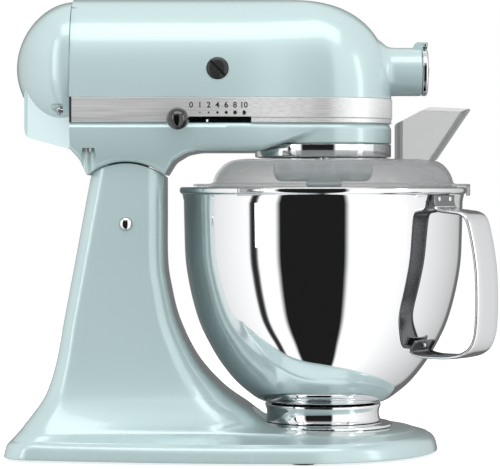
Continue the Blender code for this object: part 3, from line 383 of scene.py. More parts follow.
def block(name, low, high, material):
    outline = [(low[0], low[2]), (high[0], low[2]), (high[0], high[2]), (low[0], high[2])]
    return prism(name, outline, low[1], high[1], material)


def arc(centre, radius, start, end, count):
    """Points on a plane arc, angles in degrees."""
    points = []
    for i in range(count + 1):
        angle = math.radians(start + (end - start) * i / count)
        points.append((centre[0] + radius * math.cos(angle), centre[1] + radius * math.sin(angle)))
    return points


def near(x, z, *offsets):
    """Points of a profile given by their offsets from one place."""
    return [(x + dx, z + dz) for dx, dz in offsets]


def flipped(profile):
    """A profile mirrored to the other side, with its lengths negated."""
    return [(r, -h) for r, h in profile]


def rounded(outline, radius, count=5, closed=True):
    """Replaces each corner of a plane outline by a smooth curve that starts a radius before it."""
    points = [Vector(p) for p in outline]
    result = []
    for i, corner in enumerate(points):
        if not closed and i in (0, len(points) - 1):
            result.append(tuple(corner))
            continue
        before, after = points[i - 1] - corner, points[(i + 1) % len(points)] - corner
        reach = min(radius, 0.45 * before.length, 0.45 * after.length)
        start, end = corner + before.normalized() * reach, corner + after.normalized() * reach
        for k in range(count + 1):
            t = k / count
            result.append(tuple(start * (1 - t) ** 2 + corner * 2 * t * (1 - t) + end * t * t))
    return result


def curve_through(rows, count):
    """Catmull-Rom curve through rows of numbers, with count steps between neighbours."""
    result = []
    for i in range(len(rows) - 1):
        p0, p1 = rows[max(i - 1, 0)], rows[i]
        p2, p3 = rows[i + 1], rows[min(i + 2, len(rows) - 1)]
        for k in range(count):
            t = k / count
            result.append(tuple(catmull_rom(values, t) for values in zip(p0, p1, p2, p3)))
    return result + [tuple(rows[-1])]


def catmull_rom(values, t):
    a, b, c, d = values
    return 0.5 * (2 * b + (c - a) * t + (2 * a - 5 * b + 4 * c - d) * t**2 + (3 * b - a - 3 * c + d) * t**3)


def smooth_step(t):
    t = min(max(t, 0.0), 1.0)
    return t * t * (3 - 2 * t)


def baked(obj):
    """Applies the modifiers of an object to its mesh."""
    graph = bpy.context.evaluated_depsgraph_get()
    mesh = bpy.data.meshes.new_from_object(obj.evaluated_get(graph))
    obj.modifiers.clear()
    obj.data = mesh
    return obj


def combine(target, tools, operation):
    for tool in tools:
        modifier = target.modifiers.new("boolean", "BOOLEAN")
        modifier.operation = operation
        modifier.solver = "EXACT"
        modifier.object = tool
    baked(target)
    for tool in tools:
        bpy.data.objects.remove(tool, do_unlink=True)
    return target


def cut(target, *tools):
    return combine(target, tools, "DIFFERENCE")


def join(target, *tools):
    return combine(target, tools, "UNION")


def merged(name, *pieces):
    """One object from several separate shells, in the materials of the first."""
    bm = bmesh.new()
    for piece in pieces:
        bm.from_mesh(piece.data)
    mesh = bpy.data.meshes.new(name)
    for material in pieces[0].data.materials:
        mesh.materials.append(material)
    bm.to_mesh(mesh)
    bm.free()
    for piece in pieces:
        bpy.data.objects.remove(piece, do_unlink=True)
    return add_object(name, mesh)


def bevelled(obj, width, count=3, angle=30):
    """Rounds the sharp edges of a clean mesh."""
    modifier = obj.modifiers.new("bevel", "BEVEL")
    modifier.width = width * MM
    modifier.segments = count
    modifier.limit_method = "ANGLE"
    modifier.angle_limit = math.radians(angle)
    return baked(obj)


def fit(obj, body, slot, *nodes, angle=32):
    """Smooth-shades a finished piece, gives it its CAD body, and hides the nodes it stands for; slot is not
    used.
    """
    obj.data.shade_smooth()
    obj.data.set_sharp_from_angle(angle=math.radians(angle))
    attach(obj, body)
    if nodes:
        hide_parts(*nodes)
    return obj


# ---------------------------------------------------------------- base and column

# height, rear, front, half widths at rear and front, corner radii at rear and front
COLUMN_SECTIONS = (
    (15.4, -180.6, 139.6, 81.4, 102.8, 24, 102.8),
    (16.4, -179.8, 136.0, 80.8, 96.0, 24, 96.0),
    (17.8, -178.6, 130.5, 80.0, 87.0, 24, 86.0),
    (19.3, -177.3, 124.0, 79.0, 79.5, 24, 76.0),
    (20.4, -176.3, 96.0, 78.0, 76.5, 24, 70.0),
    (21.6, -175.2, 52.0, 77.0, 75.4, 24, 64.0),
    (23.4, -173.7, 27.0, 75.6, 74.4, 24, 57.0),
    (26.2, -171.7, 14.5, 73.4, 73.2, 23, 51.0),
    (30.4, -168.4, 7.0, 70.4, 71.2, 22, 44.0),
    (36.5, -163.8, -1.5, 66.8, 68.2, 21, 37.0),
    (43.0, -159.2, -11.5, 63.4, 65.2, 19, 32.0),
    (50.0, -155.6, -20.5, 60.6, 62.2, 18, 28.0),
    (62.0, -151.4, -32.5, 57.0, 58.6, 16, 23.0),
    (77.6, -147.6, -44.0, 54.2, 55.4, 15, 19.0),
    (103.0, -143.0, -56.0, 51.8, 52.4, 14, 16.0),
    (128.0, -138.4, -62.3, 50.5, 51.0, 14, 14.0),
    (150.0, -134.3, -65.3, 50.0, 50.0, 14, 14.0),
    (190.0, -126.9, -65.5, 50.0, 50.0, 14, 14.0),
    (232.0, -119.0, -65.5, 50.0, 50.0, 14, 14.0),
)
COLUMN_TOP_R = 46.0
LUG_HALF = 24.0
SHOULDER_Z = 14.6
SEAT_R = 56.4
FEET = [f"rubber_foot_{i}" for i in range(1, 6)]


def footprint(z, rear, front, half_rear, half_front, corner_rear, corner_front):
    """Plan section of base or column: squarish at the rear, round at the front, with bowed sides."""
    side_rear, side_front = rear + corner_rear, front - corner_front
    half = [(rear, (half_rear - corner_rear) * i / 6) for i in range(6)]
    half += arc((side_rear, half_rear - corner_rear), corner_rear, 180, 90, 12)
    for i in range(1, 16):
        back = 1 - i / 16
        x = side_front - (side_front - side_rear) * back
        half.append((x, half_front - (half_front - half_rear) * back**2))
    half += arc((side_front, half_front - corner_front), corner_front, 90, 0, 24)
    half += [(front, (half_front - corner_front) * (1 - i / 5)) for i in range(1, 6)]
    return [(x, y, z) for x, y in half] + [(x, -y, z) for x, y in reversed(half[1:-1])]


def base_section(z, extra=0.0):
    """The base's wall leans in slightly and rounds over into the flange's top."""
    rise = (z - BASE_LOW.z) / (SHOULDER_Z - BASE_LOW.z)
    inset = extra + 2.6 * rise + 3.6 * rise**6
    half_front = BASE_HIGH.y - inset
    front = BOWL_AXIS.x + 89.8 - inset
    return footprint(z, BASE_LOW.x + inset, front, 86 - 0.7 * inset, half_front, 24, half_front)


def make_pedestal():
    low = BASE_LOW.z
    rings = [base_section(low, 1.0), base_section(low + 0.3, 0.3), base_section(low + 1.0)]
    rings += [base_section(low + (SHOULDER_Z - low) * (i / 14) ** 0.7) for i in range(2, 15)]
    rings += [footprint(*row) for row in curve_through(COLUMN_SECTIONS, 6)]
    pedestal = skin("pedestal_casting", rings, PAINT)
    seat = [(0, PAD_TOP), *near(SEAT_R, PAD_TOP, (-1.5, 0), (-0.4, 0.4), (0, 1.5)), (SEAT_R, 60), (0, 60)]
    cut(pedestal, turned("seat_cutter", seat, BOWL_AXIS, PAINT, steps=160))
    x, z = PIN.x, PIN.z
    top = arc((x, z), COLUMN_TOP_R, 155, 25, 60)
    top += near(x, z, (90, 20), (90, 80), (-90, 80), (-90, 20))
    slot = [(21.7, -21), (21.7, 70), (-76, 70), (-76, 6), (-29, -3), (-27, -21)]
    slot = rounded(near(x, z, *slot), 3)
    cut(
        pedestal,
        prism("column_top_cutter", top, -80, 80, PAINT),
        prism("lug_slot_cutter", slot, -LUG_HALF - 0.6, LUG_HALF + 0.6, PAINT),
        rod("pin_bore_cutter", PIN_BORE_R, -70, 70, PIN, "Y"),
        block("lock_slot_cutter", (-92, 20, 196), (-66.6, 60, 201), PAINT),
        column_hollow(),
        *foot_recesses(),
    )
    return fit(pedestal, "base", "paint", "pedestal", angle=28)


def column_hollow():
    """The casting is open underneath: a hollow runs up the column."""
    wall = 4.5
    rows = [row for row in COLUMN_SECTIONS if 36 < row[0] < 160]
    rows = [(-5, *rows[0][1:])] + rows
    rings = []
    for z, rear, front, half_rear, half_front, corner_rear, corner_front in rows:
        corners = (corner_rear - 0.6 * wall, corner_front - 0.6 * wall)
        rings.append(footprint(z, rear + wall, front - wall, half_rear - wall, half_front - wall, *corners))
    return skin("column_hollow", rings, PAINT)


def foot_recesses():
    places = {node: middle(node) for node in FEET}
    return [rod(node + "_recess", 9.5, -5, 5.4, (at.x, at.y, 0)) for node, at in places.items()]


def make_feet():
    """Rubber feet with a rounded sole and a shallow suction ring."""
    profile = [(0, 5), (8, 5), (8.8, 4.6), (9, 4), (9, 1.2), (8.7, 0.4), (8, 0)]
    profile += [(6.4, 0), (5.8, 0.7), (0, 0.9)]
    for node in FEET:
        place = middle(node)
        foot = turned(node + "_pad", profile, (place.x, place.y, 0), RUBBER, steps=64)
        fit(foot, "base", "rubber", node)


def make_clamp_plate():
    low, top = PAD_TOP + 0.4, PAD_TOP + 3.9
    outer = cad_box("bowl_clamp_plate")[1].y
    profile = near(0, top, (33, 7), (33.5, 7), (35.5, 7), (36, 6.5), (36, 0.6), (36.6, 0))
    profile += near(outer, top, (-6, 0), (-5.5, -0.5), (-1.4, -0.8), (-0.3, -1.6), (0, -2.4))
    profile += near(outer, low, (0, 0.4), (-0.4, 0)) + [(10, low)]
    profile += near(0, top, (10, 0), (32.6, 0), (33, 0.5))
    plate = turned("bowl_seat", profile, BOWL_AXIS, CHROME, steps=160, ring=True)
    holes = []
    for node in ("clamp_plate_screw_1", "clamp_plate_screw_2"):
        place = middle(node)
        spot = (place.x, place.y, 0)
        holes.append(rod(node + "_hole", 2.2, 5, 40, spot, steps=24, material=CHROME))
        fit(screw(node + "_cross", spot, top + 0.4, 2.4, 12.0, "Z"), "base", "chrome", node)
    fit(cut(plate, *holes), "base", "chrome", "bowl_clamp_plate")


def screw(name, place, seat, height, tail, axis, facing=1, radius=3.6):
    """A pan-head screw with a cross recess; seat is where the head sits, and facing where it looks."""
    top = seat + facing * height
    profile = [(0, top), (radius - 1.8, top - 0.05 * facing), (radius - 0.7, top - 0.5 * facing)]
    profile += [(radius, seat + 0.7 * facing), (radius, seat), (1.8, seat), (1.8, tail), (0, tail)]
    made = turned(name, profile, place, GEAR_STEEL, axis, 48)
    bars = []
    for wide, deep in ((2.0, 0.45), (0.45, 2.0)):
        corner = on_axis(axis, wide, deep, 0)
        low = Vector(place) - corner + on_axis(axis, 0, 0, min(top - 0.9 * facing, top + facing))
        high = Vector(place) + corner + on_axis(axis, 0, 0, max(top - 0.9 * facing, top + facing))
        bars.append(block(name + "_recess", low, high, GEAR_STEEL))
    return cut(made, *bars)


def make_hinge_pin():
    half = cad_box("hinge_pin")[1].y
    side = [(0, half), (1.6, half - 0.1), (3.2, half - 0.6), (4.3, half - 1.2), (4.7, half - 1.9)]
    profile = side + flipped(reversed(side))
    return fit(turned("hinge_pin_domed", profile, PIN, CHROME, "Y", 64), "base", "chrome", "hinge_pin")


def make_lock_lever():
    """The head lock: a bar through the far cheek with a rounded, ribbed button."""
    low, high = cad_box("head_lock_lever")
    centre = (low + high) / 2
    bar = block("head_lock_bar", (centre.x - 4, low.y, centre.z - 2), (centre.x + 4, 53, centre.z + 2), BLACK)
    end = high.y
    profile = [(0, 51), (6.2, 51), (7, 51.8)]
    profile += near(0, end, (7, -1.6), (6.4, -0.5), (5.4, 0), (4.6, -0.5), (3.6, 0), (0, 0))
    button = turned("head_lock_button", profile, (centre.x, 0, centre.z), BLACK, "Y", 64)
    return fit(join(bevelled(bar, 0.4), button), "head_lock", "black_plastic", "head_lock_lever")


# ---------------------------------------------------------------- head castings


def head_half(x):
    """Half width of the head at its band, from the parallel body to the round nose."""
    if x <= BOWL_AXIS.x:
        t = smooth_step((x - TAPER_START) / (BOWL_AXIS.x - TAPER_START))
        return HEAD_HALF - (HEAD_HALF - NOSE_R) * t
    return math.sqrt(max(NOSE_R**2 - (x - BOWL_AXIS.x) ** 2, 0.0))


def head_outline(inset=0.0, rear=HEAD_REAR, step=6.0, nose=28):
    """Half plan outline of the head, from the rear along +Y to the tip of the nose."""
    count = int((BOWL_AXIS.x - rear) / step)
    half = [(rear + (BOWL_AXIS.x - rear) * i / count) for i in range(count)]
    half = [(x, head_half(x) - inset) for x in half]
    return half + arc(BOWL_AXIS.xy, NOSE_R - inset, 90, 0, nose)


def both_sides(half):
    return half + [(x, -y) for x, y in reversed(half[:-1])]


def dome_rings(top, outline):
    """Rings from the band up to the ridge; each shrinks to the ridge line by a superellipse."""
    rings = []
    count = 40
    for k in range(count + 1):
        angle = math.radians(90 * k / count)
        side = max(math.cos(angle), 0.0) ** DOME_POWER if k < count else 0.0
        height = BAND_TOP + (top - BAND_TOP) * math.sin(angle) ** DOME_POWER
        ring = []
        for x, y in outline:
            spine = min(x, DOME_START)
            ring.append((spine + (x - spine) * side, y * side, height))
        rings.append(ring)
    return rings


def dome_solid(name, inset, top, low, low_inset, reach=0.0):
    """The head above the housing joint: recessed behind the band, then the dome, flat at the rear."""
    outline = both_sides(head_outline(inset))
    rings = [[(x, y, z) for x, y in both_sides(head_outline(low_inset))] for z in (low, BAND_TOP)]
    rings += dome_rings(top, outline)
    if reach:
        rings = [[(x - reach if x <= HEAD_REAR else x, y, z) for x, y, z in ring] for ring in rings]
    return close_ends(skin(name, rings, PAINT, closed=False, caps=False))


def make_upper_housing():
    low = JOINT_Z + 0.4
    housing = dome_solid("upper_casting", 0.0, HEAD_TOP, low, BAND_RECESS)
    tube_end = cad_box("hub_cap")[0].x - 0.5
    flare = [(0, 90), (27, 90), (25.6, 100), (22.6, 103.8), (20.7, 106), (19.5, 108.4), (18.95, 111)]
    flare += [(18.8, 114), (18.8, tube_end - 1.0), (17.9, tube_end), (0, tube_end)]
    tube = turned("hub_tube", flare, (0, 0, MOTOR_Z), PAINT, "X", 96)
    join(housing, tube, *[cap_ear(y) for y in (-7, 7)])
    wall = BAND_RECESS + 3
    hollow = dome_solid("upper_hollow", wall, HEAD_TOP - 3.5, low - 5, wall, 5.0)
    lip = [(0, HEAD_HALF - 1.4), (9.6, HEAD_HALF - 1.4), (10.4, HEAD_HALF + 2), (0, HEAD_HALF + 2)]
    hinge = middle("hub_cap_pin")
    knob = middle("attachment_knob")
    place = (BRUSH_X, 0, MOTOR_Z)
    cut(
        housing,
        hollow,
        rod("hub_bore", 15.2, 86, 146, (0, 0, MOTOR_Z), "X", 64),
        rod("brush_bores", 8.5, -80, 80, place, "Y"),
        turned("brush_rim_far", lip, place, PAINT, "Y", 48),
        turned("brush_rim_near", flipped(lip), place, PAINT, "Y", 48),
        rod("cap_pin_bore", CAP_PIN_BORE_R, -15, 15, hinge, "Y", 24),
        rod("knob_bore", 3.4, 10, 30, (knob.x, 0, MOTOR_Z), "Y", 32),
    )
    return fit(housing, "head", "paint", "upper_housing", angle=30)


def cap_ear(y):
    """One ear of the hub cap's hinge."""
    hinge = middle("hub_cap_pin")
    outline = [(-11, -7), (-2, -7), (-2, -1.4), (2.2, -1.4), (2.2, 2.2), (-7, 2.2)]
    outline = rounded(near(hinge.x, hinge.z, *outline), 1.2)
    return prism("cap_ear", outline, y - 1.5, y + 1.5, PAINT)


UNDERSIDE_R = 47.3


def underside():
    """Side outline under the head: rear, the yoke over the column, throat, floor of the nose."""
    line = [(HEAD_REAR - 2, 238.2), (-130, 228)]
    line += arc((PIN.x, PIN.z), UNDERSIDE_R, 129, 51, 40)
    line += [(-58.5, 226.1), (-48.6, 232.3), (-38.5, 234.2), (8, 234.2), (25, NOSE_FLOOR), (140, NOSE_FLOOR)]
    return line


def floor_height(x, line):
    for (x0, z0), (x1, z1) in zip(line, line[1:]):
        if x0 <= x <= x1:
            return z0 + (z1 - z0) * (x - x0) / max(x1 - x0, 1e-6)
    return line[-1][1]


def flank_half(x, z):
    """Half width below the band: flanks draw in, then sweep in to the round nose."""
    depth = BAND_BOTTOM - z
    draw = 0.0088 * depth**2 if depth < 30 else 7.9 + 0.26 * (depth - 30)
    t = smooth_step((x - TAPER_START) / (BOWL_AXIS.x - TAPER_START))
    body = head_half(x) - draw * (1 - t)
    crease = 25 + 2.2 * (z - 241.5)
    nose = math.sqrt(max(NOSE_R**2 - (BOWL_AXIS.x - x) ** 2, 0.0))
    blend = smooth_step((x - crease) / 12)
    return body + (nose - body) * blend if nose < body else body


def lower_half_section(x, floor, half_at):
    """(half width, height) points from the centre line of the floor up the flank to the joint."""
    corner = 5.0 if x < 0 else 5.0 - 3.8 * smooth_step(x / 40)
    edge = half_at(floor + corner)
    points = [(0, floor), (edge * 0.5, floor), (edge - 2 * corner, floor)]
    for k in range(9):
        angle = math.radians(90 * k / 8)
        drop = corner * (1 - math.cos(angle))
        points.append((half_at(floor + drop) - corner * (1 - math.sin(angle)), floor + drop))
    chamfer = BAND_BOTTOM - 4.2
    for k in range(1, 10):
        z = floor + corner + (chamfer - floor - corner) * k / 9
        points.append((half_at(z), z))
    full = half_at(BAND_BOTTOM)
    points += [(full - 0.1, chamfer + 0.5), (full - 1.5, BAND_BOTTOM - 0.6), (full - 1.9, BAND_BOTTOM - 0.3)]
    return points + [(full - BAND_RECESS, BAND_BOTTOM - 0.3), (full - BAND_RECESS, JOINT_Z), (0, JOINT_Z)]


def lower_ring(x, turn=0.0):
    """Closed section of the lower housing at a station, or round the nose by an angle."""
    floor = floor_height(x, FLOOR_LINE)
    if turn:
        half = lower_half_section(x, floor, lambda z: NOSE_R)
    else:
        half = lower_half_section(x, floor, lambda z: flank_half(x, z))
    s, c = math.sin(turn), math.cos(turn)
    ring = [(x + r * s, r * c, z) for r, z in half]
    return ring + [(px, -py, pz) for px, py, pz in reversed(ring[1:-1])]


FLOOR_LINE = rounded(underside(), 2.5, closed=False)


def make_lower_housing():
    stations = [HEAD_REAR + i for i in range(4)] + [-133 + 0.75 * i for i in range(24)]
    stations += [-114 + 3 * i for i in range(14)] + [-73 + 0.75 * i for i in range(32)]
    stations += [-48 + 2.25 * i for i in range(46)]
    stations = sorted(x for x in stations if x < BOWL_AXIS.x - 0.5)
    rings = [lower_ring(x) for x in stations] + [lower_ring(BOWL_AXIS.x)]
    rings += [lower_ring(BOWL_AXIS.x, math.radians(90 * i / 30)) for i in range(1, 31)]
    housing = close_ends(skin("lower_casting", rings, PAINT, caps=False))
    x, z = PIN.x, PIN.z
    lug = arc((x, z), 20, 138.6, 401.4, 60) + [(x + 15, 233), (x - 15, 233)]
    join(housing, bevelled(prism("hinge_lug", lug, -LUG_HALF, LUG_HALF, PAINT), 0.8))
    cutters = [
        lower_hollow(),
        rod("lug_bore", PIN_BORE_R, -40, 40, PIN, "Y"),
        rod("shaft_bore", 6.8, 230, 262, BOWL_AXIS),
        rod("ring_seat", 53.7, 220, NOSE_FLOOR - 0.05, BOWL_AXIS, steps=120),
        block("lever_slot", (LEVER_SLOT_REAR, -70, BAND_BOTTOM - 0.2), (LEVER_SLOT_FRONT, -50, 261.2), PAINT),
    ]
    for node in ("housing_screw_near", "housing_screw_far"):
        place = middle(node)
        side = math.copysign(1.5, place.y)
        recess = [(0, 205), (7.6, 205), (6.0, 226), (5.2, 236.6), (0, 236.6)]
        cutters.append(turned(node + "_recess", recess, (place.x, place.y + side, 0), PAINT, steps=48))
        cutters.append(rod(node + "_hole", 2.3, 230, 255, (place.x, place.y, 0), steps=24))
    cut(housing, *cutters)
    return fit(housing, "head", "paint", "lower_housing", angle=30)


def hollow_ring(x, floor, half, reach=0.0):
    """Six corners of the gearcase space at one station; reach puts its sides further forward."""
    side, top = x + reach, GEARCASE_TOP
    near_side = [(side, -half, top), (side, -half, floor)]
    return [(x, 0, floor), (side, half, floor), (side, half, top), (x, 0, top), *near_side]


def lower_hollow():
    """The gearcase space: the floor line raised by a wall, with the flanks drawn in."""
    rings = []
    for x in [HEAD_REAR - 5 + 3 * i for i in range(64)] + [BOWL_AXIS.x]:
        floor = floor_height(max(x, HEAD_REAR), FLOOR_LINE) + (3.5 if x > -48 else 6.5)
        half = flank_half(max(x, HEAD_REAR), floor) - BAND_RECESS - 3
        rings.append(hollow_ring(x, floor, half))
    floor = NOSE_FLOOR + 3.5
    for i in range(1, 13):
        turn = math.radians(88 * i / 12)
        half = NOSE_R - BAND_RECESS - 3
        rings.append(hollow_ring(BOWL_AXIS.x, floor, half * math.cos(turn), half * math.sin(turn)))
    return skin("lower_hollow", rings, PAINT)


def make_housing_screws():
    for node in ("housing_screw_near", "housing_screw_far"):
        place = middle(node)
        fit(screw(node + "_cross", (place.x, place.y, 0), 236.5, 3.2, 252, "Z", -1), "head", "chrome", node)


# The rear cover is a superellipsoid: middle height, half width, half height and its two powers
COVER_Z = 299
COVER_HALF = 60
COVER_RISE = 52
COVER_DEPTH_POWER = 1.85
COVER_CORNER_POWER = 0.8


def cover_ring(x, inset=0.0):
    """Cross-section of the rear cover at one station."""
    t = min(max((HEAD_REAR - x) / (HEAD_REAR - COVER_BACK - inset + 0.3), 0.0), 1.0)
    size = max(1 - t**COVER_DEPTH_POWER, 0.0) ** (1 / COVER_DEPTH_POWER)
    ring = []
    for i in range(96):
        angle = math.tau * i / 96
        c, s = math.cos(angle), math.sin(angle)
        y = (COVER_HALF - inset) * size * math.copysign(abs(c) ** COVER_CORNER_POWER, c)
        z = (COVER_RISE - inset) * size * math.copysign(abs(s) ** COVER_CORNER_POWER, s)
        ring.append((x, y, COVER_Z + z))
    return ring


def cover_dome(name, inset, reach=0.0):
    depth = COVER_SEAM - COVER_BACK - inset
    stations = [COVER_SEAM - depth * math.sin(math.radians(90 * i / 44)) for i in range(44)]
    rings = [cover_ring(x, inset) for x in stations]
    if reach:
        rings.insert(0, [(x + reach, y, z) for x, y, z in rings[0]])
    return skin(name, rings, PAINT)


def cord_hood(name, inset):
    """The box under the cover that the mains cord leaves through: sloping floor, narrower to the rear."""
    front = COVER_SEAM + (3 if inset else 0)
    side = [(front, 235.8 + inset), (-154.8, 240.5 + inset)]
    side += near(inset, inset, (-169.5, 244.4), (-173, 247), (-174, 251))
    side += [(-174 + inset, 280), (-160, 296), (front, 296)]
    hood = prism(name, rounded(side, 2.5), -60, 60, PAINT)
    half = [(-130, 48 - inset + 2.4), (-176 + inset, 30 - inset)]
    taper = prism(name + "_plan", rounded(half + flipped(reversed(half)), 5), 225, 305, PAINT, "Z")
    return combine(hood, [taper], "INTERSECT")


def make_rear_cover():
    cover = join(cover_dome("rear_cover_shell", 0.0), cord_hood("hood_body", 0.0))
    place = middle("rear_cover_screw")
    spot = (0, place.y, place.z)
    bush = middle("cord_inlet_bush")
    cut(
        cover,
        cover_dome("cover_hollow", 3, 5.0),
        cord_hood("hood_hollow", 3),
        rod("cord_bore", 7, -185, -160, (0, 0, bush.z), "X"),
        rod("screw_bore", 2.4, -150, -125, spot, "X", 24),
        turned("screw_groove", [(0, -178), (7.2, -178), (5.4, -144), (0, -144)], spot, PAINT, "X", 48),
    )
    low = cad_box("rear_cover_screw")[0].x
    cross = screw("rear_cover_screw_cross", spot, low + 3.0, 3.0, low + 18.4, "X", -1)
    fit(cross, "head", "chrome", "rear_cover_screw")
    return fit(cover, "head", "paint", "rear_cover", angle=30)


# ---------------------------------------------------------------- trim and controls

# Marks on the speed dial: number and dot radius, from the rear stop forward
DIAL_MARKS = (("0", 0.0), ("1", 0.5), ("2", 0.7), ("4", 0.95), ("6", 1.2), ("8", 1.45), ("10", 1.7))
DIAL_START = -44.6
DIAL_STEP = 6.65
DIAL_NUMBER_Z = 267.2
DIAL_DOT_Z = 263.4
SLOT_TOP = 260.4
BAND_PROUD = 0.8


def band_strip(name, section, first, last, material):
    """A strip that follows the head's outline; section holds (inset, height) points."""
    outlines = {inset: both_sides(head_outline(inset)) for inset, _ in section}
    count = len(outlines[section[0][0]])
    rings = [[(*outlines[inset][k], z) for inset, z in section] for k in range(count)]
    strip = skin(name, rings, material)
    ends = [block(name + "_end", (-200, -90, 240), (first, 90, 290), material)]
    if last < 120:
        ends.append(block(name + "_front", (last, -90, 240), (200, 90, 290), material))
    return cut(strip, *ends)


def make_trim_band():
    """The brushed band with its lower ledge, the lever's slot, and end posts in painted gap shade."""
    low, high = BAND_LOW.z, BAND_HIGH.z
    ledge = SLOT_TOP - 0.5
    section = [(-BAND_PROUD + 0.3, high), (1.8, high), (1.8, low), (0.1, low), (-0.2, low + 0.4)]
    section += [(-0.2, ledge - 0.4), (-BAND_PROUD, ledge + 0.3), (-BAND_PROUD, high - 0.3)]
    post = HEAD_REAR + 1.8
    band = band_strip("band_strip", section, post, 200, BAND)
    slot = block("band_slot", (LEVER_SLOT_REAR, -70, low - 5), (LEVER_SLOT_FRONT, -50, SLOT_TOP), BAND)
    cut(band, slot)
    fit(band, "head", "brushed_band", "trim_band")
    # The band's end posts are painted dark as the shade of the gaps at the band's ends.
    fit(band_strip("band_end_shade_posts", section, HEAD_REAR - 5, post - 0.3, GAP_SHADE), "head", "black_plastic")


def dial_mesh(text, size, place):
    """A number as a thin solid, laid on the band's near face."""
    curve = bpy.data.curves.new("dial_number", "FONT")
    curve.body = text
    curve.size = size
    curve.align_x = "CENTER"
    curve.extrude = 0.06
    curve.offset = 0.12
    maker = add_object("dial_number", curve)
    graph = bpy.context.evaluated_depsgraph_get()
    mesh = bpy.data.meshes.new_from_object(maker.evaluated_get(graph))
    bpy.data.objects.remove(maker, do_unlink=True)
    for vertex in mesh.vertices:
        across, up, out = vertex.co
        x = place[0] + across
        vertex.co = Vector((x, -band_face(x) - out, place[1] + up)) * MM
    mesh.materials.clear()
    mesh.materials.append(INK)
    return add_object("dial_number", mesh)


def band_face(x):
    return head_half(x) + BAND_PROUD + 0.01


def make_dial():
    marks = []
    for i, (text, dot) in enumerate(DIAL_MARKS):
        x = DIAL_START + DIAL_STEP * i
        marks.append(dial_mesh(text, 6.0, (x, DIAL_NUMBER_Z)))
        if dot:
            marks.append(rod("dial_dot", dot, 0.1, -0.08, (x, -band_face(x), DIAL_DOT_Z), "Y", 32, INK))
    fit(merged("dial_marks", *marks), "head", "black_plastic")


def moved(obj, matrix):
    """Moves a mesh's points by a matrix given in millimetres."""
    matrix = matrix.copy()
    matrix.translation *= MM
    obj.data.transform(matrix)
    return obj


def make_speed_lever():
    """The lever on its pin, its arm through the slot, a chrome collar and the ball on the end."""
    pivot = middle("lever_pivot_pin")
    pivot.z = KNOB.z
    reach = (KNOB - pivot).length
    along = (KNOB - pivot).normalized()
    place = Matrix.Translation(pivot) @ along.to_track_quat("X", "Z").to_matrix().to_4x4()
    eye = [(5.5, -1.2), (5.5, 1.2), (2.8, 1.2), (2.8, -1.2)]
    eye = turned("speed_lever_arm", eye, (0, 0, 0), CHROME, steps=64, ring=True)
    arm = bevelled(block("lever_bar", (4, -2.6, -1.1), (reach - 3, 2.6, 1.1), CHROME), 0.5)
    lever = moved(join(eye, arm), place)
    fit(lever, "speed_lever", "chrome", "speed_lever")
    profile = []
    for k in range(33):
        angle = math.pi * k / 32
        if math.cos(angle) * KNOB_R > -7.2:
            profile.append((KNOB_R * math.sin(angle), KNOB_R * math.cos(angle)))
    profile += [(4.5, -7.35), (4.0, -7.4), (3.4, -7.1), (0, -7.1)]
    ball = turned("speed_knob_ball", profile, (reach, 0, 0), BLACK, "X", 80)
    pocket = block("knob_pocket", (reach - 9, -3.0, -1.5), (reach - 2.4, 3.0, 1.5), BLACK)
    ball = moved(cut(ball, pocket), place)
    fit(ball, "speed_lever", "black_plastic", "speed_knob")


BRUSH_CAP_END = 62


def make_brush_caps():
    """Screw caps over the motor's brushes, each with a coin slot."""
    for node, side in (("brush_cap_near", -1), ("brush_cap_far", 1)):
        profile = near(0, BRUSH_CAP_END, (0, 0), (5, -0.1), (6.8, -0.4), (7.7, -1), (8.1, -1.9))
        profile += [(8.1, 54), (0, 54)]
        profile = profile if side > 0 else flipped(profile)
        cap = turned(node + "_slotted", profile, (BRUSH_X, 0, MOTOR_Z), SATIN, "Y", 80)
        slot = [(-1.25, 64), (-1.25, 61.9), (-0.8, 61.4), (-0.8, 60.0)]
        slot += [(-across, y) for across, y in reversed(slot)]
        bar = skin(node + "_slot", [[(x, y, z) for z, y in slot] for x in (-7.4, 7.4)], SATIN)
        moved(bar, Matrix.Translation((BRUSH_X, 0, MOTOR_Z)) @ Matrix.Rotation(math.radians(45), 4, "Y"))
        if side < 0:
            bar.data.transform(Matrix.Scale(-1, 4, (0, 1, 0)))
            bar.data.flip_normals()
        fit(cut(cap, bar), "head", "black_plastic", node)


def make_hub_cap():
    """The chrome cap over the attachment hub: a dished disc with a pull lip and its hinge knuckle."""
    low, high = cad_box("hub_cap")[0].x, cad_box("hub_cap")[1].x
    profile = near(0, high, (0, -0.7), (9, -0.6), (13.6, -0.2), (15.2, 0), (16.8, 0), (18.2, -0.6))
    profile += [(18.8, high - 1.5), (18.8, low + 0.5), (18.4, low), (0, low)]
    cap = turned("hub_cap_disc", profile, (0, 0, MOTOR_Z), CHROME, "X", 96)
    hinge = middle("hub_cap_pin")
    knuckle = [(0, -5), (1.9, -5), (2.1, -4.8), (2.1, 4.8), (1.9, 5), (0, 5)]
    knuckle = turned("cap_knuckle", knuckle, hinge, CHROME, "Y", 32)
    bridge = block("cap_bridge", (low + 0.2, -5, MOTOR_Z + 15), (high - 0.3, 5, hinge.z), CHROME)
    lip = near(high, MOTOR_Z, (-0.9, 4.6), (1.0, 3.8), (1.3, 0.5), (0.8, -5), (-0.2, -12), (-0.9, -12))
    join(cap, bridge, knuckle, bevelled(prism("cap_lip", rounded(lip, 0.7), -8, 8, CHROME), 0.5))
    cut(cap, rod("knuckle_bore", CAP_PIN_BORE_R, -15, 15, hinge, "Y", 24, CHROME))
    fit(cap, "hub_cap", "chrome", "hub_cap")
    pin = [(0, 9), (0.9, 9), (1.2, 8.7), (1.2, -8.7), (0.9, -9), (0, -9)]
    fit(turned("hub_cap_pin_rod", pin, hinge, CHROME, "Y", 32), "head", "chrome", "hub_cap_pin")


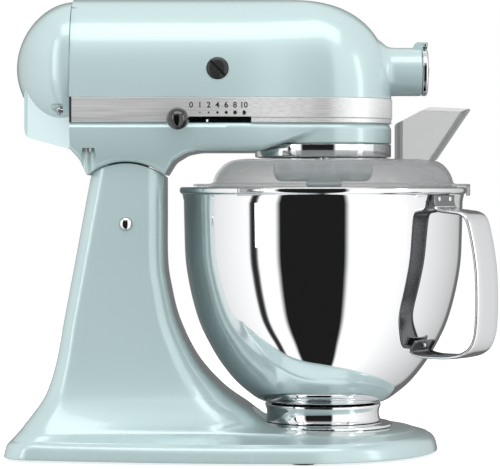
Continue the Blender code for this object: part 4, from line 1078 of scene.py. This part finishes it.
def make_attachment_knob():
    """The fluted knob that clamps an attachment in the hub."""
    place = middle("attachment_knob")
    low, high = cad_box("attachment_knob")[0].y, cad_box("attachment_knob")[1].y
    profile = near(0, high, (0, 0), (5.5, 0), (7.4, -0.3), (8.4, -0.9), (9, -1.9))
    profile += near(0, low, (9, 8.2), (8.2, 6.2), (7, 5.2), (3, 4.2), (3, 0), (0, 0))
    knob = turned("attachment_knob_fluted", profile, (place.x, 0, MOTOR_Z), BLACK, "Y", 144)
    flutes = 18
    for vertex in knob.data.vertices:
        dx, dz = vertex.co.x / MM - place.x, vertex.co.z / MM - MOTOR_Z
        radius = math.hypot(dx, dz)
        if radius > 7.2:
            scale = 1 - 0.05 * max(math.cos(flutes * math.atan2(dz, dx)), 0.0) ** 2
            vertex.co.x = (place.x + dx * scale) * MM
            vertex.co.z = (MOTOR_Z + dz * scale) * MM
    fit(knob, "attachment_knob", "black_plastic", "attachment_knob")


# ---------------------------------------------------------------- under the nose


def make_drip_ring():
    low, high, outer = ring_size("drip_ring")
    profile = near(outer, high, (-0.4, 0), (0, -0.4))
    profile += near(outer, low, (0, 0.8), (-0.3, 0.2), (-0.9, 0), (-1.7, 0.2), (-2.0, 0.8))
    profile.append((outer - 2.0, high))
    ring = turned("drip_ring_rolled", profile, BOWL_AXIS, CHROME, steps=200, ring=True)
    fit(ring, "head", "chrome", "drip_ring")


def make_planetary():
    foot, top, outer = ring_size("planetary")
    low = foot + 4.5
    profile = near(outer, top, (-0.5, 0), (0, -0.5))
    profile += near(outer, low, (0, 8), (-0.4, 5.4), (-1.6, 2.6), (-3.4, 0.9), (-6, 0))
    profile += [(0, low), (0, low + 3.6), *near(outer, low, (-7, 3.6), (-3, 8)), (outer - 3, top)]
    planetary = turned("planetary_cup", profile, BOWL_AXIS, PAINT, steps=144, ring=True)
    shaft = middle("agitator_shaft")
    boss = near(0, foot, (0, 0), (12.2, 0), (13.3, 0.6), (13.8, 1.8)) + [(13.8, top), (0, top)]
    axis = (shaft.x, shaft.y, 0)
    centre_boss = rod("centre_boss", 10, low + 1, top, BOWL_AXIS, steps=64)
    join(planetary, centre_boss, turned("boss", boss, axis, PAINT, steps=96))
    cut(planetary, rod("agitator_bore", 5.4, 190, 250, axis), rod("bore", 6.4, foot + 8.1, 250, BOWL_AXIS))
    fit(planetary, "planetary", "paint", "planetary", angle=30)


def make_agitator_shaft():
    low, high = cad_box("agitator_shaft")
    centre = (low + high) / 2
    axis = (BOWL_AXIS.x, centre.y, 0)
    profile = near(0, high.z, (0, 0), (4.6, 0), (5, -0.4))
    profile += near(0, low.z, (5, 1.2), (4.2, 0.2), (3.6, 0), (0, 0))
    shaft = turned("agitator_shaft_pinned", profile, axis, CHROME, steps=64)
    pin = [(0, -9), (1.1, -9), (1.6, -8.5), (1.6, 8.5), (1.1, 9), (0, 9)]
    join(shaft, turned("drive_pin", pin, (axis[0], axis[1], 195), CHROME, "X", 32))
    fit(shaft, "agitator", "chrome", "agitator_shaft")


# ---------------------------------------------------------------- bowl and handle

BOWL_WALL = 1.3
BOWL_SIDE = (
    (109.0, 196.0), (108.6, 176.0), (107.8, 153.0), (105.8, 137.0), (102.0, 119.0),
    (96.9, 102.0), (90.2, 87.0), (80.8, 71.0), (69.0, 56.0), (57.0, 45.6),
    (49.0, 40.6), (40.0, 38.4), (26.0, 38.2),
)


def offset_line(points, distance):
    """A line beside an open plane line, at a distance to its left."""
    moved_line = []
    for i, point in enumerate(points):
        run = Vector(points[min(i + 1, len(points) - 1)]) - Vector(points[max(i - 1, 0)])
        normal = Vector((run.y, -run.x)).normalized()
        moved_line.append((point[0] + normal.x * distance, point[1] + normal.y * distance))
    return moved_line


def bowl_radius(z):
    for (high_r, high_z), (low_r, low_z) in zip(BOWL_SIDE, BOWL_SIDE[1:]):
        if high_z >= z >= low_z:
            return high_r + (low_r - high_r) * (high_z - z) / (high_z - low_z)
    return BOWL_SIDE[0][0]


def make_bowl():
    side = curve_through(BOWL_SIDE, 8)
    bead = [(109.0, 196.0), (110.2, 201.6), (111.6, 202.2), (112.2, 203.4), (112.2, 205.6), (111.4, 206.8)]
    bead += [(110.0, 207.0), (108.6, 206.2), (107.9, 204.4), (107.7, 196.0)]
    bead = rounded(bead, 1.0, 4, closed=False)
    inner = offset_line(side, BOWL_WALL)
    profile = [(0, 38.2)] + side[::-1] + bead[1:-1] + inner + [(0, inner[-1][1])]
    bowl = turned("bowl_shell", profile, BOWL_AXIS, MIRROR, steps=192)
    fit(bowl, "bowl", "polished_steel", "bowl", angle=50)


def make_foot_ring():
    low, top, outer = ring_size("bowl_foot_ring")
    profile = near(outer, top, (-0.2, 0), (0, -0.8), (-0.3, -2), (-1.1, -4), (-1.5, -6.5), (-1.4, -9))
    profile += near(outer, low, (-0.7, 2), (0, 0.9), (-0.5, 0), (-4.6, 0), (-5, 0.4)) + [(outer - 5, top)]
    ring = turned("foot_ring_turned", profile, BOWL_AXIS, MIRROR, steps=160, ring=True)
    fit(ring, "bowl", "polished_steel", "bowl_foot_ring")


HANDLE_ANGLE = math.radians(-37.0)
HANDLE_HALF = 15.0
# Middle of the strap as (distance from the bowl's axis, height) between its two tabs
HANDLE_BEND = (
    (114.5, 190.0), (126.0, 188.3), (135.5, 186.8), (141.0, 182.0), (144.6, 170.0),
    (147.8, 154.0), (149.5, 137.0), (149.5, 108.0), (146.6, 91.5), (139.0, 83.0),
    (126.0, 79.5), (110.0, 78.8), (98.5, 79.4),
)


def strap_section(lip):
    """(out, across) points of the strap: a thin web whose two edges roll inward by lip."""
    half = HANDLE_HALF
    edge = [(1.5, half - 2.2), (1.2, half - 1.0), (0.6, half - 0.2), (-0.1, half), (-1.0, half - 0.4)]
    edge += [(-1.5, half - 1.4), (-1.4, half - 2.6), (1.5 - lip, half - 3.4)]
    web = [(1.7, 0.0), (1.7, half * 0.5)]
    outer = [(1.7, -half * 0.5)] + web + edge + [(1.5 - lip, half * 0.4), (1.5 - lip, -half * 0.4)]
    return outer + [(out, -across) for out, across in reversed(edge)]


def make_handle():
    top, bottom = bowl_radius(197) + 2.4, bowl_radius(84) + 3.9
    path = [(top, 200.8), (top - 0.1, 195.6), *HANDLE_BEND, (bottom - 0.9, 82.2), (bottom + 3.2, 89.8)]
    path = [Vector(point) for point in curve_through(path, 6)]
    outward = Vector((math.cos(HANDLE_ANGLE), math.sin(HANDLE_ANGLE), 0))
    across = Vector((-math.sin(HANDLE_ANGLE), math.cos(HANDLE_ANGLE), 0))
    section = strap_section(1.4)
    rings = []
    for i, point in enumerate(path):
        run = path[min(i + 1, len(path) - 1)] - path[max(i - 1, 0)]
        normal = Vector((-run.y, run.x)).normalized()
        ring = []
        for out, wide in section:
            spot = point + normal * out
            ring.append(Vector((BOWL_AXIS.x, 0, spot.y)) + outward * spot.x + across * wide)
        rings.append(ring)
    strap = skin("handle_strap", rings, STRAP)
    mark_shaded_side(strap, path, outward)
    welds = [weld(top + 1.2, 198.0, side, outward, across) for side in (-7.5, 7.5)]
    welds.append(weld(bottom + 2.4, 86.5, 0.0, outward, across))
    fit(merged("bowl_handle_strap", strap, *welds), "bowl", "polished_steel", "bowl_handle", angle=50)


def mark_shaded_side(strap, path, outward):
    """Gives the strap's hidden side, and both tabs, a darker and rougher steel: the dark colour is painted
    shade, the roughness an unpolished finish.
    """
    strap.data.materials.append(STRAP_SHADE_SIDE)
    for face in strap.data.polygons:
        middle_point = face.center / MM - BOWL_AXIS
        spot = Vector((middle_point.dot(outward), middle_point.z))
        nearest = min(range(len(path)), key=lambda i: (path[i] - spot).length)
        run = path[min(nearest + 1, len(path) - 1)] - path[max(nearest - 1, 0)]
        normal = outward * -run.y + Vector((0, 0, run.x))
        on_tab = nearest < 10 or nearest > len(path) - 8
        # Faces turned towards the bowl, and the tabs, take the dark steel as painted shade.
        if face.normal.dot(normal) < -0.3 * run.length or on_tab:
            face.material_index = 1


def weld(radius, z, side, outward, across):
    """A spot weld's shallow dimpled disc on one of the strap's tabs."""
    profile = [(0, 0.8), (0.8, 0.65), (1.4, 0.6), (1.8, 0.3), (1.9, -0.6), (0, -0.6)]
    dot = turned("spot_weld", profile, (0, 0, 0), STRAP, "X", 32)
    turn = Matrix((outward, across, (0, 0, 1))).transposed().to_4x4()
    spot = BOWL_AXIS + outward * radius + across * side + Vector((0, 0, z))
    return moved(dot, Matrix.Translation(spot) @ turn)


# ---------------------------------------------------------------- pouring shield

SHIELD_R = 115.0
MOUTH_R = 50.5
MOUTH_HALF = 58.0


def shield_mouth(extra=0.0):
    """Half plan outline of the mouth: round in front, widening to the rear."""
    half = [(BOWL_AXIS.x - 140, MOUTH_HALF + extra), (BOWL_AXIS.x, MOUTH_R + extra)]
    return half + arc(BOWL_AXIS.xy, MOUTH_R + extra, 84, 0, 40)


def make_shield():
    """Clear pouring shield: a dome with a rolled mouth open to the rear, a flange, hooks and a chute."""
    top, seat = cad_box("drip_ring")[0].z - 1.6, BOWL_TOP.z + 0.4
    outer = near(0, top, (50, 0), (80, -0.2), (86, -0.8), (90, -1.8), (94, -4.2), (97, -7.6))
    outer += near(0, top, (99.3, -11), (100.8, -14.6)) + [(101.6, 210.6), (102.8, 209.8), (104.5, 209.4)]
    outer += [(SHIELD_R - 0.8, 209.4), (SHIELD_R, 208.6), (SHIELD_R - 0.2, 207.7), (SHIELD_R - 0.8, seat)]
    inner = [(104.5, seat), (104.5, 200.4), (104.1, 200), (102.9, 200), (102.5, 200.4), (101.0, 207.6)]
    inner += [(98.2, 214.6), (94.8, 220.4), (89, 225.0), (84, 226.0), (80, 226.2), (50, 226.4)]
    shield = turned("shield_dome", outer + inner, BOWL_AXIS, CLEAR, steps=180, ring=True)
    cut(shield, prism("mouth_cutter", both_sides(shield_mouth()), 190, 240, CLEAR, "Z"))
    join(shield, mouth_bead(top), chute_body(), *[hook(angle) for angle in (-120.6, -0.6, 119.4)])
    cut(shield, chute_channel())
    fit(shield, "pour_shield", "clear_plastic", "pour_shield", angle=40)
    shield.visible_shadow = False


def mouth_bead(top):
    """The rolled rim round the front of the mouth."""
    rings = []
    for i in range(61):
        turn = math.radians(-88 + 176 * i / 60)
        ring = []
        for k in range(16):
            angle = math.tau * k / 16
            radius = MOUTH_R + 2.1 + 1.9 * math.cos(angle)
            z = top - 0.9 + 1.6 * math.sin(angle)
            ring.append((BOWL_AXIS.x + radius * math.cos(turn), radius * math.sin(turn), z))
        rings.append(ring)
    return skin("mouth_bead", rings, CLEAR)


def hook(angle):
    """A small tab that hooks over the bowl's rim."""
    section = [(113.1, 208.4), (114.9, 208.4), (114.9, 201.0), (114.5, 200.2), (113.5, 200.2), (113.1, 201.0)]
    rings = []
    for i in range(9):
        turn = math.radians(angle - 5.0 + 10.0 * i / 8)
        rings.append([(BOWL_AXIS.x + r * math.cos(turn), r * math.sin(turn), z) for r, z in section])
    return skin("shield_hook", rings, CLEAR)


CHUTE = ((115.4, 227.0), (115.4, 257.0), (137.0, 268.4), (170.0, 267.0), (143.0, 227.0))
CHUTE_HALF = 36.0
CHUTE_WALL = 2.2


def chute_body():
    return prism("chute_body", rounded(CHUTE, 2.2), -CHUTE_HALF, CHUTE_HALF, CLEAR)


def chute_channel():
    wall = CHUTE_WALL
    (rear, _), *_, (lip, lip_z), (root, root_z) = CHUTE
    inner = [(rear + wall, 195), (rear + wall, 280), (lip + 4, 280), (lip - wall, lip_z)]
    inner += [(root - wall, root_z - 1), (root - wall, 195)]
    return prism("chute_channel", inner, -CHUTE_HALF + wall, CHUTE_HALF - wall, CLEAR)


# ---------------------------------------------------------------- studio


def plain_material(name, colour, strength=0.0, roughness=0.9):
    plain = Finish(name, colour, roughness)
    plain.vary_roughness(plain.noise(3.0), roughness - 0.05, roughness + 0.05)
    if strength:
        plain.set("Emission Color", (*colour, 1.0))
        plain.set("Emission Strength", strength)
    return plain.material


def floor_disc(name, radius):
    bm = bmesh.new()
    bmesh.ops.create_circle(bm, cap_ends=True, segments=96, radius=radius)
    mesh = bpy.data.meshes.new(name)
    bm.to_mesh(mesh)
    bm.free()
    return add_object(name, mesh)


def area_light(name, place, target, size, power):
    light = bpy.data.lights.new(name, "AREA")
    light.shape = "RECTANGLE"
    light.size, light.size_y = size
    light.energy = power
    lamp = add_object(name, light)
    look = Vector(target) - Vector(place)
    lamp.matrix_world = Matrix.Translation(place) @ look.to_track_quat("-Z", "Y").to_matrix().to_4x4()
    lamp.visible_camera = False


# Brightness of the studio in reflections: degrees from the camera's side towards +X, and level
SURROUND = (
    (-180, 0.18), (-157, 0.18), (-150, 0.45), (-120, 0.75), (-98, 0.95), (-65, 1.18),
    (-63, 0.03), (-58, 0.03), (-56, 1.20), (-41, 1.20), (-37, 0.015), (16, 0.015),
    (20, 1.20), (62, 1.20), (110, 0.86), (148, 0.60), (154, 0.16), (180, 0.18),
)
# Brightness of the soft light that falls on the object, from straight below to straight above
SKY = ((0.0, 0.56), (0.45, 0.78), (0.55, 0.92), (1.0, 0.72))


def ramp(tree, value, stops):
    """A grey colour ramp driven by a 0 to 1 value."""
    made = tree.nodes.new("ShaderNodeValToRGB")
    tree.links.new(value, made.inputs[0])
    elements = made.color_ramp.elements
    for _ in stops[2:]:
        elements.new(0.5)
    for element, (position, level) in zip(elements, stops):
        element.position = position
    for element, (position, level) in zip(elements, stops):
        element.color = (level, level, level, 1.0)
    return made.outputs[0]


def world_node(tree, kind, *links, **settings):
    made = tree.nodes.new(kind)
    for name, value in settings.items():
        setattr(made, name, value)
    for socket, value in links:
        if isinstance(value, bpy.types.NodeSocket):
            tree.links.new(value, made.inputs[socket])
        else:
            made.inputs[socket].default_value = value
    return made.outputs[0]


def make_world():
    """A white studio: soft light from above, and a dark gap between two tall softboxes to reflect."""
    world = bpy.data.worlds.new("studio")
    bpy.context.scene.world = world
    world.use_nodes = True
    tree = world.node_tree
    node = functools.partial(world_node, tree)
    coordinates = tree.nodes.new("ShaderNodeTexCoord")
    parts = tree.nodes.new("ShaderNodeSeparateXYZ")
    tree.links.new(coordinates.outputs["Generated"], parts.inputs[0])
    backward = node("ShaderNodeMath", (0, parts.outputs["Y"]), (1, -1.0), operation="MULTIPLY")
    angle = node("ShaderNodeMath", (0, parts.outputs["X"]), (1, backward), operation="ARCTAN2")
    turn = node("ShaderNodeMapRange", (0, angle), (1, -math.pi), (2, math.pi))
    around = ramp(tree, turn, [((degrees + 180) / 360, level) for degrees, level in SURROUND])
    upward = node("ShaderNodeMapRange", (0, parts.outputs["Z"]), (1, 0.45), (2, 0.75))
    low, high, mixed = colour_mix(tree, upward)
    tree.links.new(around, low)
    high.default_value = (0.75, 0.75, 0.75, 1.0)
    height = node("ShaderNodeMapRange", (0, parts.outputs["Z"]), (1, -1.0), (2, 1.0))
    sky = ramp(tree, height, SKY)
    path = tree.nodes.new("ShaderNodeLightPath")
    mirrored = node("ShaderNodeBackground", (0, mixed), (1, 1.0))
    soft = node("ShaderNodeBackground", (0, sky), (1, 1.0))
    seen = node("ShaderNodeBackground", (0, (1.0, 1.0, 1.0, 1.0)), (1, 1.0))
    lit = node("ShaderNodeMixShader", (0, path.outputs["Is Glossy Ray"]), (1, soft), (2, mirrored))
    choice = node("ShaderNodeMixShader", (0, path.outputs["Is Camera Ray"]), (1, lit), (2, seen))
    tree.links.new(choice, tree.nodes["World Output"].inputs["Surface"])


def make_studio():
    bpy.context.scene.view_settings.view_transform = "Standard"
    make_world()
    floor = floor_disc("studio_floor", 1.6)
    floor.data.materials.append(plain_material("pale_floor", (0.92, 0.92, 0.92), 0.55))
    floor.visible_glossy = False
    floor.visible_diffuse = False
    area_light("top_softbox", (0.0, -0.7, 1.5), (0.0, 0.0, 0.25), (1.8, 0.7), 8.0)
    area_light("left_softbox", (-1.7, -1.3, 0.7), (0.0, 0.0, 0.15), (0.35, 1.5), 3.5)
    area_light("right_softbox", (2.0, -0.95, 0.6), (0.0, 0.0, 0.15), (0.35, 1.5), 4.0)


# Metres from the object's middle plane and above the worktop, and degrees down
CAMERA_DISTANCE = 1.88
CAMERA_HEIGHT = 0.2046
CAMERA_TILT = 1.06


def make_camera():
    """Square to the operator's side, a little under two metres away, tilted slightly down."""
    camera = bpy.data.cameras.new("camera")
    camera.sensor_width = 36.0
    camera.lens = 172.7
    camera.clip_start, camera.clip_end = 0.1, 60.0
    obj = add_object("camera", camera)
    obj.location = (0.0, -CAMERA_DISTANCE, CAMERA_HEIGHT)
    obj.rotation_euler = (math.radians(90 - CAMERA_TILT), 0.0, 0.0)
    bpy.context.scene.camera = obj


def build():
    refinish_cad_nodes()
    make_pedestal()
    make_feet()
    make_clamp_plate()
    make_hinge_pin()
    make_lock_lever()
    make_upper_housing()
    make_lower_housing()
    make_housing_screws()
    make_rear_cover()
    make_trim_band()
    make_dial()
    make_speed_lever()
    make_brush_caps()
    make_hub_cap()
    make_attachment_knob()
    make_drip_ring()
    make_planetary()
    make_agitator_shaft()
    make_bowl()
    make_foot_ring()
    make_handle()
    make_shield()
    make_studio()
    make_camera()


build()
